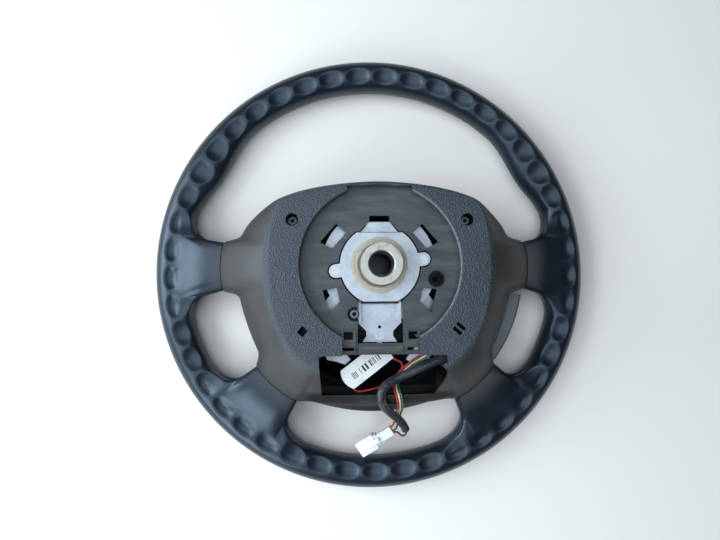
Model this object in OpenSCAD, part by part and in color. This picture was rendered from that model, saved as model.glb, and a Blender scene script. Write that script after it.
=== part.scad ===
// Car steering wheel with its airbag module, horn slide and audio switches, lying face down.
// +Z is the column axis and points away from the driver, and +Y points to twelve o'clock.
// The origin is on the column axis, in the plane that the front of the rim rests on.
// Seen from behind as here, +X is the driver's left.

/* [Rim] */
// Outer diameter of the rim
rim_od = 385; // [365:1:400]
// Width of the rim's section, from its outer to its inner edge
rim_w = 27.6; // [25:0.2:30]
// Thickness of the rim's section, front to back
rim_h = 29; // [27:0.5:31]
// Finger scallops round the back of the rim
scallop_count = 45; // [36:1:54]
// Depth of a finger scallop
scallop_deep = 2.4; // [1:0.1:3.5]
// Radial width of a finger scallop
scallop_w = 15.5; // [12:0.5:18]
// How far a thumb rest bulges inward
thumb_in = 6.8; // [3:0.2:9]
// Direction of the thumb rests, in degrees above the side spokes
thumb_at = 31.6; // [27:0.2:36]
// Width and height of the cast ring inside the rim
core_w = 12.5; // [10:0.5:14]

/* [Spokes] */
// Distance from the axis to the seam between the rim's skin and the centre covers
seam_r = 129; // [126:0.5:132]
// Direction of the side spokes' middle, in degrees above the X axis
side_dir = 1; // [0:0.5:3]
// Half the angle that a side spoke takes at the seam
side_half = 9.5; // [8.5:0.25:10.5]
// Angle from six o'clock to the middle of a lower spoke
low_dir = 41; // [38:0.5:43]
// Half the angle that a lower spoke takes at the seam
low_half = 10.5; // [9.5:0.25:11.5]
// Height of a spoke's back at the seam
root_top = 56; // [54:0.5:60]
// Height of a spoke's front at the seam
root_bottom = 29; // [26:0.5:31]
// How far a spoke's back falls from its middle to its edges
spoke_crown = 5; // [0:0.5:6.5]
// Width of a cast arm at the ring
arm_w = 23; // [18:0.5:25]
// Thickness of a cast arm
arm_t = 13; // [10:0.5:14]
// Wall of the channel cast into an arm
arm_wall = 4; // [3:0.25:4.5]

/* [Hub] */
// Outer diameter of the steel boss
boss_d = 31.4; // [29:0.2:34]
// Diameter of the boss's plain pilot bore
pilot_d = 19; // [17:0.1:21]
// Depth of the plain pilot bore
pilot_deep = 12; // [9:0.5:14]
// How far the boss's end face stands above the casting's raised pad
boss_proud = 17; // [15:0.5:20]
// Length of the boss
boss_len = 34; // [32:0.5:38]
// Number of serrations in the boss
serration_count = 36; // [24:1:48]
// Depth of a serration
serration_deep = 0.7; // [0.5:0.05:0.9]
// Radius of the raised pad of the casting round the boss
pad_r = 30.8; // [30:0.1:32]
// Radius of the casting's flange under the rear cover
flange_r = 45; // [43:0.5:48]
// Reach of the two ears on the raised pad
ear_reach = 34.3; // [33.5:0.1:35]
// Radius of an ear
ear_r = 5.2; // [4.5:0.1:5.8]

/* [Rear cover] */
// Height of the cover's grained back face
cover_top = 98; // [97:0.25:99.5]
// Wall of the rear cover
cover_t = 2.5; // [2:0.1:2.8]
// Depth of the round recess in the back face
recess_deep = 8; // [7:0.25:8.5]
// Radius of the round recess
recess_r = 61.5; // [60.5:0.5:63]
// Height of the seam between rear cover and front trim
lip_z = 43; // [42:0.5:45]
// Gap at the seams between covers and skin
seam = 0.4; // [0.3:0.05:0.6]
// Gap round the raised pad in the cover's opening
pad_gap = 0.8; // [0.5:0.1:1]

/* [Screws] */
// Distance of the two upper cover screws from the middle
screw_x = 67; // [66:0.25:68]
// Height of the two upper cover screws above the middle
screw_y = 34.3; // [33.5:0.1:35]
// Radius of a screw well
well_r = 4.4; // [4.2:0.1:4.8]
// Depth of an upper screw well
well_deep = 9.5; // [8.5:0.25:10.5]
// Shank diameter of a cover screw
shank_d = 4; // [3.5:0.1:4.5]
// Length of a cover screw under its head
shank_len = 14; // [12:0.5:16]

/* [Airbag module] */
// Travel of the module when the horn is pressed
horn_travel = 2.5; // [1.5:0.1:3]
// Gap between the airbag cover and the front trim
reveal = 1.2; // [0.8:0.1:1.6]
// Lowest point of the airbag cover's face above the floor
face_z = 9; // [6:0.5:11]
// Wall of the airbag cover
face_t = 3; // [2.5:0.1:3.4]
// Height of the module plate's back face
plate_z = 42; // [41:0.25:42.5]
// Sheet thickness of the module housing
sheet_t = 1.6; // [1.2:0.1:2]
// Width of the module housing
can_w = 116; // [110:1:120]
// Height of the module housing
can_h = 92; // [88:1:96]
// Diameter of the gas generator
generator_d = 64; // [58:1:68]
// How far the gas generator stands behind the plate
generator_back = 15; // [12:0.5:17]
// Distance of the side guide bolts from the axis
guide_r = 74; // [72:0.5:75]
// Shank diameter of a guide bolt
guide_d = 6; // [5.5:0.1:6.5]
// Running gap of a guide bolt in its bush
guide_gap = 0.35; // [0.3:0.05:0.5]
// Height of the spring seats on the arms
seat_z = 56; // [55:0.25:57]
// Wire diameter of a horn spring
wire_d = 1.3; // [1:0.1:1.5]
// Turns of a horn spring
spring_turns = 3; // [2.5:0.5:4]

/* [Audio switches] */
// Share of the room between cover and rim that the switch pod takes
pod_share = 0.327; // [0.3:0.005:0.33]
// Direction of the pod's middle, in degrees below the X axis
pod_dir = 23.5; // [22.5:0.25:24.5]
// Half the angle that the pod takes
pod_half = 13.5; // [13:0.25:13.8]
// Height of the pod's front face
pod_front = 15; // [13:0.5:17]
// Height of the pod's back
pod_back = 33; // [31:0.5:35]
// Travel of a push button
push_travel = 1; // [0.6:0.1:1.2]
// Largest tilt of the rocker, in degrees
rocker_tilt = 4; // [2:0.5:5]
// Gap round a button
button_gap = 0.5; // [0.4:0.05:0.7]
// How far a button stands proud of the pod's face
button_proud = 2; // [1.5:0.1:2.5]

/* [Lead] */
// Outer diameter of the black sleeve on the wires
sleeve_d = 7.2; // [6:0.1:7.3]
// Outer diameter of one wire
lead_d = 1.6; // [1.2:0.1:1.8]
// Width of the connector
plug_w = 13; // [12:0.25:14]
// Length of the connector
plug_len = 34; // [30:0.5:35]
// Thickness of the connector
plug_t = 9; // [8:0.25:9.5]

/* [Hidden] */
$fn = 64;
ring_r = (rim_od - rim_w) / 2;
rim_mid = rim_h / 2;
inner_r = ring_r - rim_w / 2;
SIDES = 14;
FILLET_SHARE = 0.39;
THUMB_LOW = 14;
THUMB_HIGH = 18.5;
// Each spoke: direction of its middle, half its angle, angle of the fillet beside it
SPOKES = [[side_dir, side_half, 6.5], [180 - side_dir, side_half, 6.5], [270 - low_dir, low_half, 9.5],
  [270 + low_dir, low_half, 9.5]];
// Right half of the grained face's outline, from twelve to six o'clock
FACE = [[0, 64], [28, 62], [51, 58], [69, 52.5], [77.5, 47.5], [82, 38], [85, 24], [86.5, 5], [86, -12],
  [84, -28], [79.5, -44], [71.5, -60], [61, -72], [50, -79.5], [36, -81.5], [0, -81.5]];
// Right half of the outline that the covers have at their seam
BODY = [[0, 71], [32, 69.5], [60, 65], [80, 58.5], [94, 50], [106, 38.5], [112.5, 27], [115.5, 10],
  [116, -10], [114, -24], [110.5, -38], [105, -54], [98, -70], [90, -86], [76, -101], [60, -109.5],
  [32, -113.8], [0, -115]];
// Right half of the airbag cover's outline
PAD = [[0, 58], [30, 56.5], [56, 52], [72, 43], [81, 28], [85, 8], [85, -12], [82, -34], [74, -58],
  [60, -80], [38, -95], [14, -101], [0, -102]];
recess_z = cover_top - recess_deep;
flange_top = recess_z - 6;
flange_t = 6;
pad_top = recess_z + 1;
boss_top = pad_top + boss_proud;
ear_turn = 7.5;
head_t = 2.4;
screw_well_z = cover_top - well_deep;
low_screw = [-19.9, -37.6];
open_hole = [43.7, -11];
can_mid = -12;
plug_socket_z = plate_z + generator_back;
GUIDES = [[side_dir, guide_r], [180 - side_dir, guide_r], [270 - low_dir, guide_r + 6],
  [270 + low_dir, guide_r + 6]];
boss_pad_r = 8.5;
lug_top = 68.5;
guide_seat_top = flange_top - 4;
bush_t = 1.2;
bush_len = 0.75 * (guide_seat_top - seat_z);
can_deep = 2 / 3 * (plate_z - face_z);
hole_gap = 0.2;

function lerp(a, b, t) = a + (b - a) * t;
function mix(a, b, t) = [lerp(a.x, b.x, t), lerp(a.y, b.y, t)];
function angle_off(a, b) = let (d = (a - b) % 360) d > 180 ? d - 360 : d < -180 ? d + 360 : d;
function mirrored(half) = concat(half, [for (i = [len(half) - 2:-1:1]) [-half[i].x, half[i].y]]);
function sorted(v) = len(v) < 2 ? v
  : let (p = v[floor(len(v) / 2)])
    concat(sorted([for (x = v) if (x < p) x]), [p], sorted([for (x = v) if (x > p) x]));

// Smooth closed curve through the points, as four chords between each two
function curve(p, n = 4) = [for (i = [0:len(p) - 1], k = [0:n - 1]) let (
  m = len(p), t = k / n, a = p[(i + m - 1) % m], b = p[i], c = p[(i + 1) % m], d = p[(i + 2) % m])
  0.5 * (2 * b + (c - a) * t + (2 * a - 5 * b + 4 * c - d) * t * t + (3 * b - a - 3 * c + d) * t * t * t)];

// Distance from the axis to a closed curve, in the direction a
function reach(p, a) = max([for (i = [0:len(p) - 1]) let (
  b = p[i], e = p[(i + 1) % len(p)] - b, det = e.x * sin(a) - e.y * cos(a),
  s = det == 0 ? -1 : (b.y * cos(a) - b.x * sin(a)) / det,
  t = det == 0 ? -1 : (b.y * e.x - b.x * e.y) / det)
  s >= 0 && s <= 1 && t > 0 ? t : 0]);

// Solid through closed rings of points, lowest ring first, closed by a fan at each end
module loft(rings) {
  n = len(rings[0]);
  m = len(rings);
  ends = [for (r = [rings[0], rings[m - 1]]) [for (k = [0:2]) [for (p = r) p[k]] * [for (p = r) 1] / n]];
  polyhedron(points = concat([for (r = rings) each r], ends), faces = concat(
    [for (k = [0:m - 2],
  i = [0:n - 1]) let (j = (i + 1) % n) [k * n + i, (k + 1) * n + i, (k + 1) * n + j]],
    [for (k = [0:m - 2], i = [0:n - 1]) let (j = (i + 1) % n) [k * n + i, (k + 1) * n + j, k * n + j]],
    [for (i = [0:n - 1]) [m * n, i, (i + 1) % n]],
    [for (i = [0:n - 1]) [m * n + 1, (m - 1) * n + (i + 1) % n, (m - 1) * n + i]]), convexity = 6);
}

// Round tube along a row of points
module tube(path, d, sides = 8) {
  m = len(path);
  dir = [for (i = [0:m - 1]) let (v = path[min(i + 1, m - 1)] - path[max(i - 1, 0)]) v / norm(v)];
  side = [for (v = dir) let (s = cross(v, abs(v.z) > 0.9 ? [1, 0, 0] : [0, 0, 1])) s / norm(s)];
  loft([for (i = [m - 1:-1:0]) let (u = side[i], w = cross(u, dir[i]))
    [for (k = [0:sides - 1]) path[i] + d / 2 * (u * cos(k * 360 / sides) + w * sin(k * 360 / sides))]]);
}

// Part of a scallop's pitch, -0.5 to 0.5, that a direction lies from that scallop's middle
function scallop_part(a) = let (u = (a - 270) * scallop_count / 360) u - round(u);

// Share, 0 to 1, by which the rim's inner side is drawn in towards a spoke's seam
function spoke_share(a) = max([for (s = SPOKES) let (d = abs(angle_off(a, s[0])) - s[1])
  d <= 0 ? 1 : d < s[2]
    ? FILLET_SHARE * (1 - sqrt(1 - pow(1 - d / s[2], 2))) : 0]);

// How far a spoke's back lies below its middle line, in the direction a
function crown(a) = spoke_crown
  * pow(min(1, min([for (s = SPOKES) abs(angle_off(a, s[0])) / s[1]])), 3);

// Share, 0 to 1, of a thumb rest's bulge
function thumb_share(a) = max([for (s = [1, -1]) let (
  d = s > 0 ? angle_off(a, thumb_at) : -angle_off(a, 180 - thumb_at), w = d < 0 ? THUMB_LOW : THUMB_HIGH)
  abs(d) < w ? pow(cos(90 * d / w), 2) : 0]);

// Point of a spoke's back or front surface, from the seam at s = 0 to the ring at s = 1
function root_point(s, back, a) = [lerp(seam_r, ring_r, s),
  back ? lerp(rim_h, root_top - crown(a), pow(1 - s, 2)) : root_bottom * pow(1 - s, 1.3)];

// Section of the rim's skin in the direction a, as radius and height
function skin_section(a) = let (
  share = spoke_share(a), bulge = thumb_in * thumb_share(a),
  dip = scallop_deep * pow(cos(180 * scallop_part(a)), 2))
  [for (k = [0:SIDES - 1]) let (
    t = (k + 0.5) * 360 / SIDES, x = rim_w / 2 * cos(t) / cos(180 / SIDES), v = 2 * x / scallop_w,
    r = ring_r + x - (x < 0 ? bulge * -cos(t) : 0),
    z = rim_mid + rim_h / 2 * sin(t) - (sin(t) > 0 ? dip * max(0, 1 - v * v) : 0),
    s = 0.26 * max(0, abs(180 - t) * SIDES / 360 - 0.5) + 0.06 * max(0, abs(180 - t) * SIDES / 360 - 1.5))
    cos(t) < -0.01 ? mix([r, z], root_point(s, t < 180, a), share) : [r, z]];

// Directions of the skin's sections: four to a scallop, and two at each edge of a spoke
EDGES = [for (s = SPOKES, e = [-1, 1], o = [0, 0.25]) (s[0] + e * (s[1] + o) + 360) % 360];
SKIN_DIRS = let (step = 90 / scallop_count) sorted(concat(EDGES,
  [for (i = [0:4 * scallop_count - 1]) let (a = (270 + i * step) % 360)
    if (min([for (e = EDGES) abs(angle_off(a, e))]) > 0.3) a]));

module skin_body() {
  n = len(SKIN_DIRS);
  grid = [for (a = SKIN_DIRS, p = skin_section(a)) [p.x * cos(a), p.x * sin(a), p.y]];
  polyhedron(points = grid, faces = [for (i = [0:n - 1], k = [0:SIDES - 1]) let (
    a = i * SIDES, b = (i + 1) % n * SIDES, q = (k + 1) % SIDES) [a + k, a + q, b + q, b + k]],
    convexity = 10);
}

// Arm profile as radius and height: back edge outward, then front edge inward
arm_foot = 20;
function arm_back(r) = lookup(r, [[30, flange_top + 1], [58, flange_top - 3],
  [seam_r, root_top - 6], [ring_r - 5, rim_mid + core_w / 2 - 2]]);
function arm_front(r) = lookup(r, [[30, flange_top - arm_t], [58, flange_top - 3 - arm_t * 1.25],
  [seam_r, root_top - 6 - arm_t], [ring_r - 5, rim_mid - core_w / 2 + 2]]);

module arm_profile(r0, r1, back_off = 0) {
  rs = sorted(concat([r0, r1], [for (r = [30, 58, seam_r]) if (r > r0 && r < r1) r]));
  polygon(concat([for (r = rs) [r, arm_back(r) - back_off]],
    [for (i = [len(rs) - 1:-1:0]) [rs[i], arm_front(rs[i]) - (back_off > 0 ? 20 : 0)]]));
}

module upright(w) {
  rotate([90, 0, 0]) translate([0, 0, -w / 2]) linear_extrude(w) children();
}

// Plan view of one arm, tapering from the hub to the ring
module arm_plan(off = 0) {
  polygon([[10, 15 - off], [10, off - 15], [seam_r, off - arm_w / 2], [ring_r, off - arm_w / 2],
    [ring_r, arm_w / 2 - off], [seam_r, arm_w / 2 - off]]);
}

module arm_blank() {
  intersection() {
    upright(40) arm_profile(arm_foot, ring_r - 5);
    linear_extrude(120) arm_plan();
  }
}

module arm_channel() {
  intersection() {
    upright(40) arm_profile(62, seam_r - 8, 5);
    linear_extrude(120) arm_plan(arm_wall);
  }
}

module core_ring() {
  h = core_w / 2;
  c = core_w / 5;
  rotate_extrude($fn = 180) translate([ring_r, rim_mid])
    polygon([[h, c - h], [h, h - c], [h - c, h], [c - h, h],
      [-h, h - c], [-h, c - h], [c - h, -h], [h - c, -h]]);
}

module core_envelope() {
  core_ring();
  for (s = SPOKES) rotate(s[0]) arm_blank();
}

module rim_skin() color([0.13, 0.15, 0.19]) {
  difference() {
    skin_body();
    core_envelope();
  }
}

// Outline of the raised pad with its ears, seen along the axis
module raised_outline(gap = 0) {
  intersection() {
    circle(r = pad_r + gap, $fn = 96);
    translate([-50, -28 - gap]) square([100, 53.5 + 2 * gap]);
  }
  for (a = [ear_turn, ear_turn + 180]) rotate(a) {
    translate([ear_reach, 0]) circle(r = ear_r + gap);
    translate([0, -ear_r - gap]) square([ear_reach, 2 * (ear_r + gap)]);
  }
}

module tab_outline(gap = 0) {
  polygon([[-16 - gap, 24], [16 + gap, 24], [8 + gap, 33.4 + gap], [-8 - gap, 33.4 + gap]]);
}

module bracket_outline() {
  polygon([[-16.5, -24], [-16.5, -45], [-10.5, -51], [-10.5, -55], [-13.5, -59.5], [13.5, -59.5],
    [10.5, -55], [10.5, -51], [16.5, -45], [16.5, -24]]);
}

// Lug beside a lower arm that shows at the top of the wiring window
module lug_outline() {
  polygon([[46, -64], [41, -74.5], [33.5, -76], [26.9, -78.3], [22.4, -74.6], [26, -70], [38, -55]]);
}

module at_guides() {
  for (g = GUIDES) rotate(g[0]) translate([g[1], 0]) rotate(-g[0]) children();
}

module armature() color([0.72, 0.72, 0.75]) {
  bottom = flange_top - flange_t;
  difference() {
    union() {
      core_ring();
      difference() {
        for (s = SPOKES) rotate(s[0]) arm_blank();
        for (s = SPOKES) rotate(s[0]) arm_channel();
      }
      translate([0, 0, bottom]) cylinder(r = flange_r, h = flange_t, $fn = 96);
      translate([0, 0, bottom]) linear_extrude(pad_top - bottom) raised_outline();
      translate([0, 0, bottom]) linear_extrude(pad_top - 2.5 - bottom) tab_outline();
      translate([0, 0, bottom]) linear_extrude(flange_t - 1) bracket_outline();
      for (s = [-1, 1]) translate([s * 15.5 - 1, -45, bottom]) cube([2, 18, flange_t + 2.2]);
      for (s = [0, 1]) mirror([s, 0]) translate([0, 0, lug_top - 5]) linear_extrude(5) lug_outline();
      translate([0, 0, boss_top - boss_len]) cylinder(r = boss_d / 2 + 4.5, h = boss_len / 2);
      translate([0, 0, pad_top]) cylinder(r = boss_d / 2 + 4.8, h = 1.4);
      translate([open_hole.x, open_hole.y, bottom]) cylinder(r = 6.5, h = flange_t);
      at_guides() translate([0, 0, seat_z]) cylinder(r = boss_pad_r, h = guide_seat_top - seat_z);
    }
    translate([0, 0, 60]) cylinder(r = boss_d / 2, h = 60);
    for (p = [low_screw, open_hole]) translate([p.x, p.y, 60]) cylinder(d = shank_d + hole_gap, h = 40);
    translate([-9, 34.4, 60]) cube([18, 20, 40]);
    translate([0, -47.9, 60]) cylinder(r = 1.3, h = 40);
    at_guides() translate([0, 0, 40]) cylinder(r = guide_d / 2 + guide_gap + bush_t, h = 60);
    at_guides() translate([0, 0, guide_seat_top]) cylinder(r = boss_pad_r + 1, h = 20);
  }
}

module hub_boss() color([0.8, 0.79, 0.76]) {
  teeth = serration_count;
  r = pilot_d / 2 - 0.5;
  difference() {
    translate([0, 0, boss_top - boss_len]) cylinder(d = boss_d, h = boss_len, $fn = 96);
    translate([0, 0, boss_top - pilot_deep]) cylinder(d = pilot_d, h = pilot_deep + 1, $fn = 96);
    translate([0, 0, boss_top - boss_len - 1]) linear_extrude(boss_len) polygon([for (i = [0:2 * teeth - 1])
      (r - (i % 2) * serration_deep) * [cos(180 * i / teeth), sin(180 * i / teeth)]]);
    translate([0, 0, boss_top - boss_len - 1]) cylinder(r = boss_d / 2 - 3.5, h = 7);
    translate([0, 0, boss_top - 0.8]) cylinder(d1 = pilot_d, d2 = pilot_d + 1.8, h = 0.81, $fn = 96);
  }
}

// Directions of the covers' rings: every 6 degrees, and four at each edge of a spoke
COVER_EDGES = [for (s = SPOKES, e = [-1, 1], o = [-1.2, 0.2, 1.7, 3.2])
  (s[0] + e * (s[1] + o) + 360) % 360];
COVER_DIRS = sorted(concat(COVER_EDGES, [for (a = [0:6:354])
  if (min([for (e = COVER_EDGES) abs(angle_off(a, e))]) > 1.8) a]));
FACE_CURVE = curve(mirrored(FACE));
BODY_CURVE = curve(mirrored(BODY));
PAD_CURVE = curve(mirrored(PAD));
FACE_R = [for (a = COVER_DIRS) reach(FACE_CURVE, a)];
BODY_R = [for (a = COVER_DIRS) reach(BODY_CURVE, a)];
PAD_R = [for (a = COVER_DIRS) reach(PAD_CURVE, a)];

// Share of the covers' short arms: 1 on a spoke, falling to 0 beside it; inset is the wall, for the inside
function arm_share(a, inset = 0) = max([for (s = SPOKES) let (d = abs(angle_off(a, s[0])) - s[1] + inset)
  d <= 0 ? 1 : d < 5 ? pow(1 - d / 5, 3) : 0]);

function ring(rs, zs) = [for (i = [0:len(COVER_DIRS) - 1]) let (a = COVER_DIRS[i])
  [rs[i] * cos(a), rs[i] * sin(a), zs[i]]];

// Rings of the rear cover, from its lip to its flat back; t is 0 outside and the wall inside
function cover_rings(t) = let (
  in = t > 0 ? 1 : 0,
  share = [for (a = COVER_DIRS) arm_share(a, in * 1.2)],
  tip = in ? seam_r + 2 : seam_r - seam,
  n = len(COVER_DIRS) - 1,
  lip_r = [for (i = [0:n]) lerp(BODY_R[i] - t, tip, share[i])],
  low_r = [for (i = [0:n]) lerp(BODY_R[i] - 1 - t, tip, share[i])],
  back_z = [for (a = COVER_DIRS) root_top - crown(a)],
  low_z = [for (i = [0:n]) lerp(lip_z + 11, back_z[i], share[i]) - 0.8 * t - 4 * in * share[i]],
  edge_r = [for (i = [0:n]) FACE_R[i] - 0.8 * t],
  edge_z = cover_top - 2.2 - t)
  [ring(lip_r, [for (i = [0:n]) lip_z - 3 * in]),
   ring(low_r, low_z),
   ring([for (i = [0:n]) lerp(edge_r[i], low_r[i], 0.62)], [for (i = [0:n]) lerp(edge_z, low_z[i], 0.46)]),
   ring(edge_r, [for (i = [0:n]) edge_z]),
   ring([for (i = [0:n]) edge_r[i] - 2.6], [for (i = [0:n]) cover_top - t])];

// Plan of the recess in the cover's back; grown by g for the wall round it
module recess_outline(g = 0) {
  circle(r = recess_r + g, $fn = 128);
  translate([-25 - g, 0]) square([50 + 2 * g, 60.6 + g]);
  translate([-29.5 - g, -69 - g]) square([59 + 2 * g, 69 + g]);
}

module window_outline() {
  polygon([[-47.5, -68.6], [50, -68.6], [51.5, -84], [50, -90], [44, -101.5], [-45.5, -101.5]]);
}

// The four slanted windows in the recess, right pair mirrored to the left
module floor_windows() {
  for (s = [0, 1]) mirror([s, 0]) {
    polygon([[33.6, 32.2], [25.8, 25.3], [36.6, 13], [46.1, 17.8]]);
    polygon([[33.4, -17.4], [44.2, -19], [39.7, -36.8], [30.9, -28]]);
  }
}

module at_screws() {
  for (s = [-1, 1]) translate([s * screw_x, screw_y]) children();
}

module clip_hole(w, d) {
  rotate(-40) translate([-w / 2, -d / 2]) square([w, d]);
}

module rear_cover() color([0.3, 0.33, 0.37]) {
  floor_z = recess_z - cover_t;
  foot_z = flange_top + 0.3;
  difference() {
    union() {
      difference() {
        loft(cover_rings(0));
        translate([0, 0, recess_z]) linear_extrude(40) recess_outline();
        difference() {
          loft(cover_rings(cover_t));
          translate([0, 0, floor_z]) linear_extrude(40) recess_outline(cover_t);
        }
      }
      at_screws() translate([0, 0, screw_well_z - 2.5]) cylinder(r = well_r + 2, h = well_deep + 0.2);
      translate([low_screw.x, low_screw.y, foot_z]) cylinder(r = well_r + 2, h = recess_z - foot_z);
      translate([open_hole.x, open_hole.y, foot_z]) cylinder(r = well_r + 2.2, h = recess_z - foot_z + 0.8);
      for (s = [-1, 1]) translate([s * 24.8 - 5.5, -67.5, recess_z - 0.5]) cube([11, 17, 2.5]);
      translate([-16.8, -67.2, recess_z - 0.5]) cube([33.6, 5.4, 2]);
    }
    translate([0, 0, 60]) linear_extrude(60) {
      raised_outline(pad_gap);
      tab_outline(pad_gap);
      translate([-17.5, -60]) square([35, 34]);
      translate([-7.8, 30]) square([15.6, 8.4]);
      floor_windows();
    }
    translate([0, 0, 40]) linear_extrude(80) window_outline();
    at_screws() translate([0, 0, screw_well_z]) cylinder(r = well_r, h = 30);
    at_screws() translate([0, 0, 60]) cylinder(d = shank_d + 0.6, h = 60);
    translate([low_screw.x, low_screw.y, recess_z - 3.5]) cylinder(r = well_r, h = 30);
    translate([low_screw.x, low_screw.y, 60]) cylinder(d = shank_d + 0.6, h = 60);
    translate([open_hole.x, open_hole.y, recess_z - 2.5]) cylinder(r = well_r, h = 30);
    translate([open_hole.x, open_hole.y, 60]) cylinder(r = 3, h = 60);
    translate([-59.2, -50, 80]) linear_extrude(30) clip_hole(5.6, 6.2);
    for (y = [-2, 2]) translate([59.3, -49, 80]) linear_extrude(30) rotate(-40) translate([-3.4, y - 1.1])
      square([6.8, 2.2]);
    for (s = [-1, 1]) translate([s * 24.8 - 3.6, -57, 60]) cube([7.2, 6, 60]);
    for (s = [-1, 1]) translate([s * 24.8 - 4.5, -65.4, 60]) cube([9, 2.4, 60]);
  }
}

// Rings of the front trim, from its front edge round the airbag cover up to the seam
function trim_rings(t) = let (
  in = t > 0 ? 1 : 0,
  n = len(COVER_DIRS) - 1,
  share = [for (a = COVER_DIRS) arm_share(a, in * 1.2)],
  tip = in ? seam_r + 2 : seam_r - seam,
  belly = [for (a = COVER_DIRS) let (d = abs(angle_off(a, 270))) d < 45 ? 8.5 * pow(cos(2 * d), 2) : 0],
  top_r = [for (i = [0:n]) lerp(BODY_R[i] - t, tip, share[i])],
  side_r = [for (i = [0:n]) lerp(BODY_R[i] - t + belly[i], tip, share[i])],
  front_r = [for (r = PAD_R) r + reveal])
  [if (in) ring(front_r, [for (r = PAD_R) face_z + 8]),
   ring([for (r = front_r) r + 0.4 - 0.4 * in], [for (r = PAD_R) face_z + 11 + t]),
   ring([for (i = [0:n]) lerp(front_r[i], side_r[i], 0.6)],
     [for (i = [0:n]) lerp(face_z + 12, root_bottom - 4, share[i]) + t]),
   ring(side_r, [for (i = [0:n]) lerp(lip_z - 14, root_bottom + 1, share[i]) + t]),
   ring(top_r, [for (i = [0:n]) lip_z - 0.3 + 3 * in])];

module front_trim() color([0.24, 0.24, 0.24]) {
  post_r = norm([screw_x, screw_y]);
  post_z = plate_z + horn_travel;
  wall_r = reach(BODY_CURVE, atan2(screw_y, screw_x)) - cover_t;
  difference() {
    union() {
      difference() {
        loft(trim_rings(0));
        loft(trim_rings(cover_t));
      }
      for (s = [0, 1]) mirror([s, 0]) rotate(atan2(screw_y, screw_x)) {
        translate([post_r, 0, post_z]) cylinder(r = 4.6, h = screw_well_z - 2.5 - post_z);
        translate([post_r, -5, post_z]) cube([wall_r - 3 - post_r, 10, 3]);
        translate([wall_r - 8, -5, lip_z - 10]) cube([5, 10, 12]);
        translate([wall_r - 8, -1.2, lip_z - 10]) cube([8.5, 2.4, 9]);
      }
    }
    at_screws() translate([0, 0, screw_well_z - 2.5 - shank_len]) cylinder(d = shank_d + hole_gap, h = 40);
  }
}

module screw() {
  difference() {
    union() {
      cylinder(r = 3.9, h = head_t, $fn = 48);
      translate([0, 0, -shank_len]) cylinder(d = shank_d, h = shank_len + 0.1, $fn = 48);
    }
    translate([0, 0, head_t - 1.4]) cylinder(r = 1.7, h = 2, $fn = 6);
  }
}

module cover_screws() color([0.12, 0.12, 0.13]) {
  at_screws() translate([0, 0, screw_well_z]) screw();
  translate([low_screw.x, low_screw.y, recess_z - 3.5]) screw();
}

module bolt_bushes() color([0.85, 0.83, 0.74]) {
  at_guides() difference() {
    union() {
      translate([0, 0, seat_z - bush_t]) cylinder(r = boss_pad_r - 1, h = bush_t);
      translate([0, 0, seat_z - bush_t]) cylinder(r = guide_d / 2 + guide_gap + bush_t, h = bush_len);
    }
    translate([0, 0, 40]) cylinder(r = guide_d / 2 + guide_gap, h = 60);
  }
}

module horn_springs() color([0.7, 0.7, 0.68]) {
  steps = round(spring_turns * 8);
  z0 = plate_z + wire_d / 2 + 0.05;
  z1 = seat_z - bush_t - wire_d / 2 - 0.05;
  at_guides() tube([for (i = [0:steps]) let (a = i * 45)
    [5.6 * cos(a), 5.6 * sin(a), lerp(z0, z1, min(1, max(0, (i - 4) / (steps - 8))))]], wire_d, 5);
}

module guide_bolts() color([0.55, 0.55, 0.57]) {
  at_guides() difference() {
    union() {
      translate([0, 0, plate_z]) cylinder(d = guide_d, h = guide_seat_top - plate_z + 1);
      translate([0, 0, guide_seat_top]) cylinder(r = 6.4, h = 3, $fn = 6);
      translate([0, 0, plate_z - sheet_t]) cylinder(d = guide_d - 1.5, h = sheet_t + 0.1);
    }
    translate([0, 0, guide_seat_top + 1.5]) cylinder(r = 2.2, h = 4, $fn = 6);
  }
}

module rounded(w, h, r) {
  translate([-w / 2 + r, -h / 2]) square([w - 2 * r, h]);
  translate([-w / 2, -h / 2 + r]) square([w, h - 2 * r]);
  for (x = [-1, 1], y = [-1, 1]) translate([x * (w / 2 - r), y * (h / 2 - r)]) circle(r = r);
}

STUDS = [for (a = [45:90:315]) [0, can_mid] + (generator_d / 2 + 5.5) * [cos(a), sin(a)]];

module module_housing() color([0.62, 0.63, 0.64]) {
  difference() {
    union() {
      translate([0, can_mid, plate_z - can_deep]) linear_extrude(can_deep) rounded(can_w, can_h, 10);
      translate([0, 0, plate_z - sheet_t]) linear_extrude(sheet_t) {
        translate([0, can_mid]) rounded(can_w + 8, can_h + 6, 12);
        at_guides() circle(r = 9.5);
        for (s = [0, 1]) rotate(SPOKES[s][0]) translate([40, -9.5]) square([guide_r - 40, 19]);
      }
    }
    translate([0, can_mid, plate_z - can_deep - 8]) linear_extrude(can_deep + 8 - sheet_t)
      rounded(can_w - 2 * sheet_t, can_h - 2 * sheet_t, 10 - sheet_t);
    translate([0, can_mid, 20]) cylinder(d = generator_d + 0.4, h = 60);
    for (p = STUDS) translate([p.x, p.y, 20]) cylinder(r = 2.5, h = 60);
    at_guides() translate([0, 0, 20]) cylinder(d = guide_d - 1.5, h = 60);
  }
}

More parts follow.
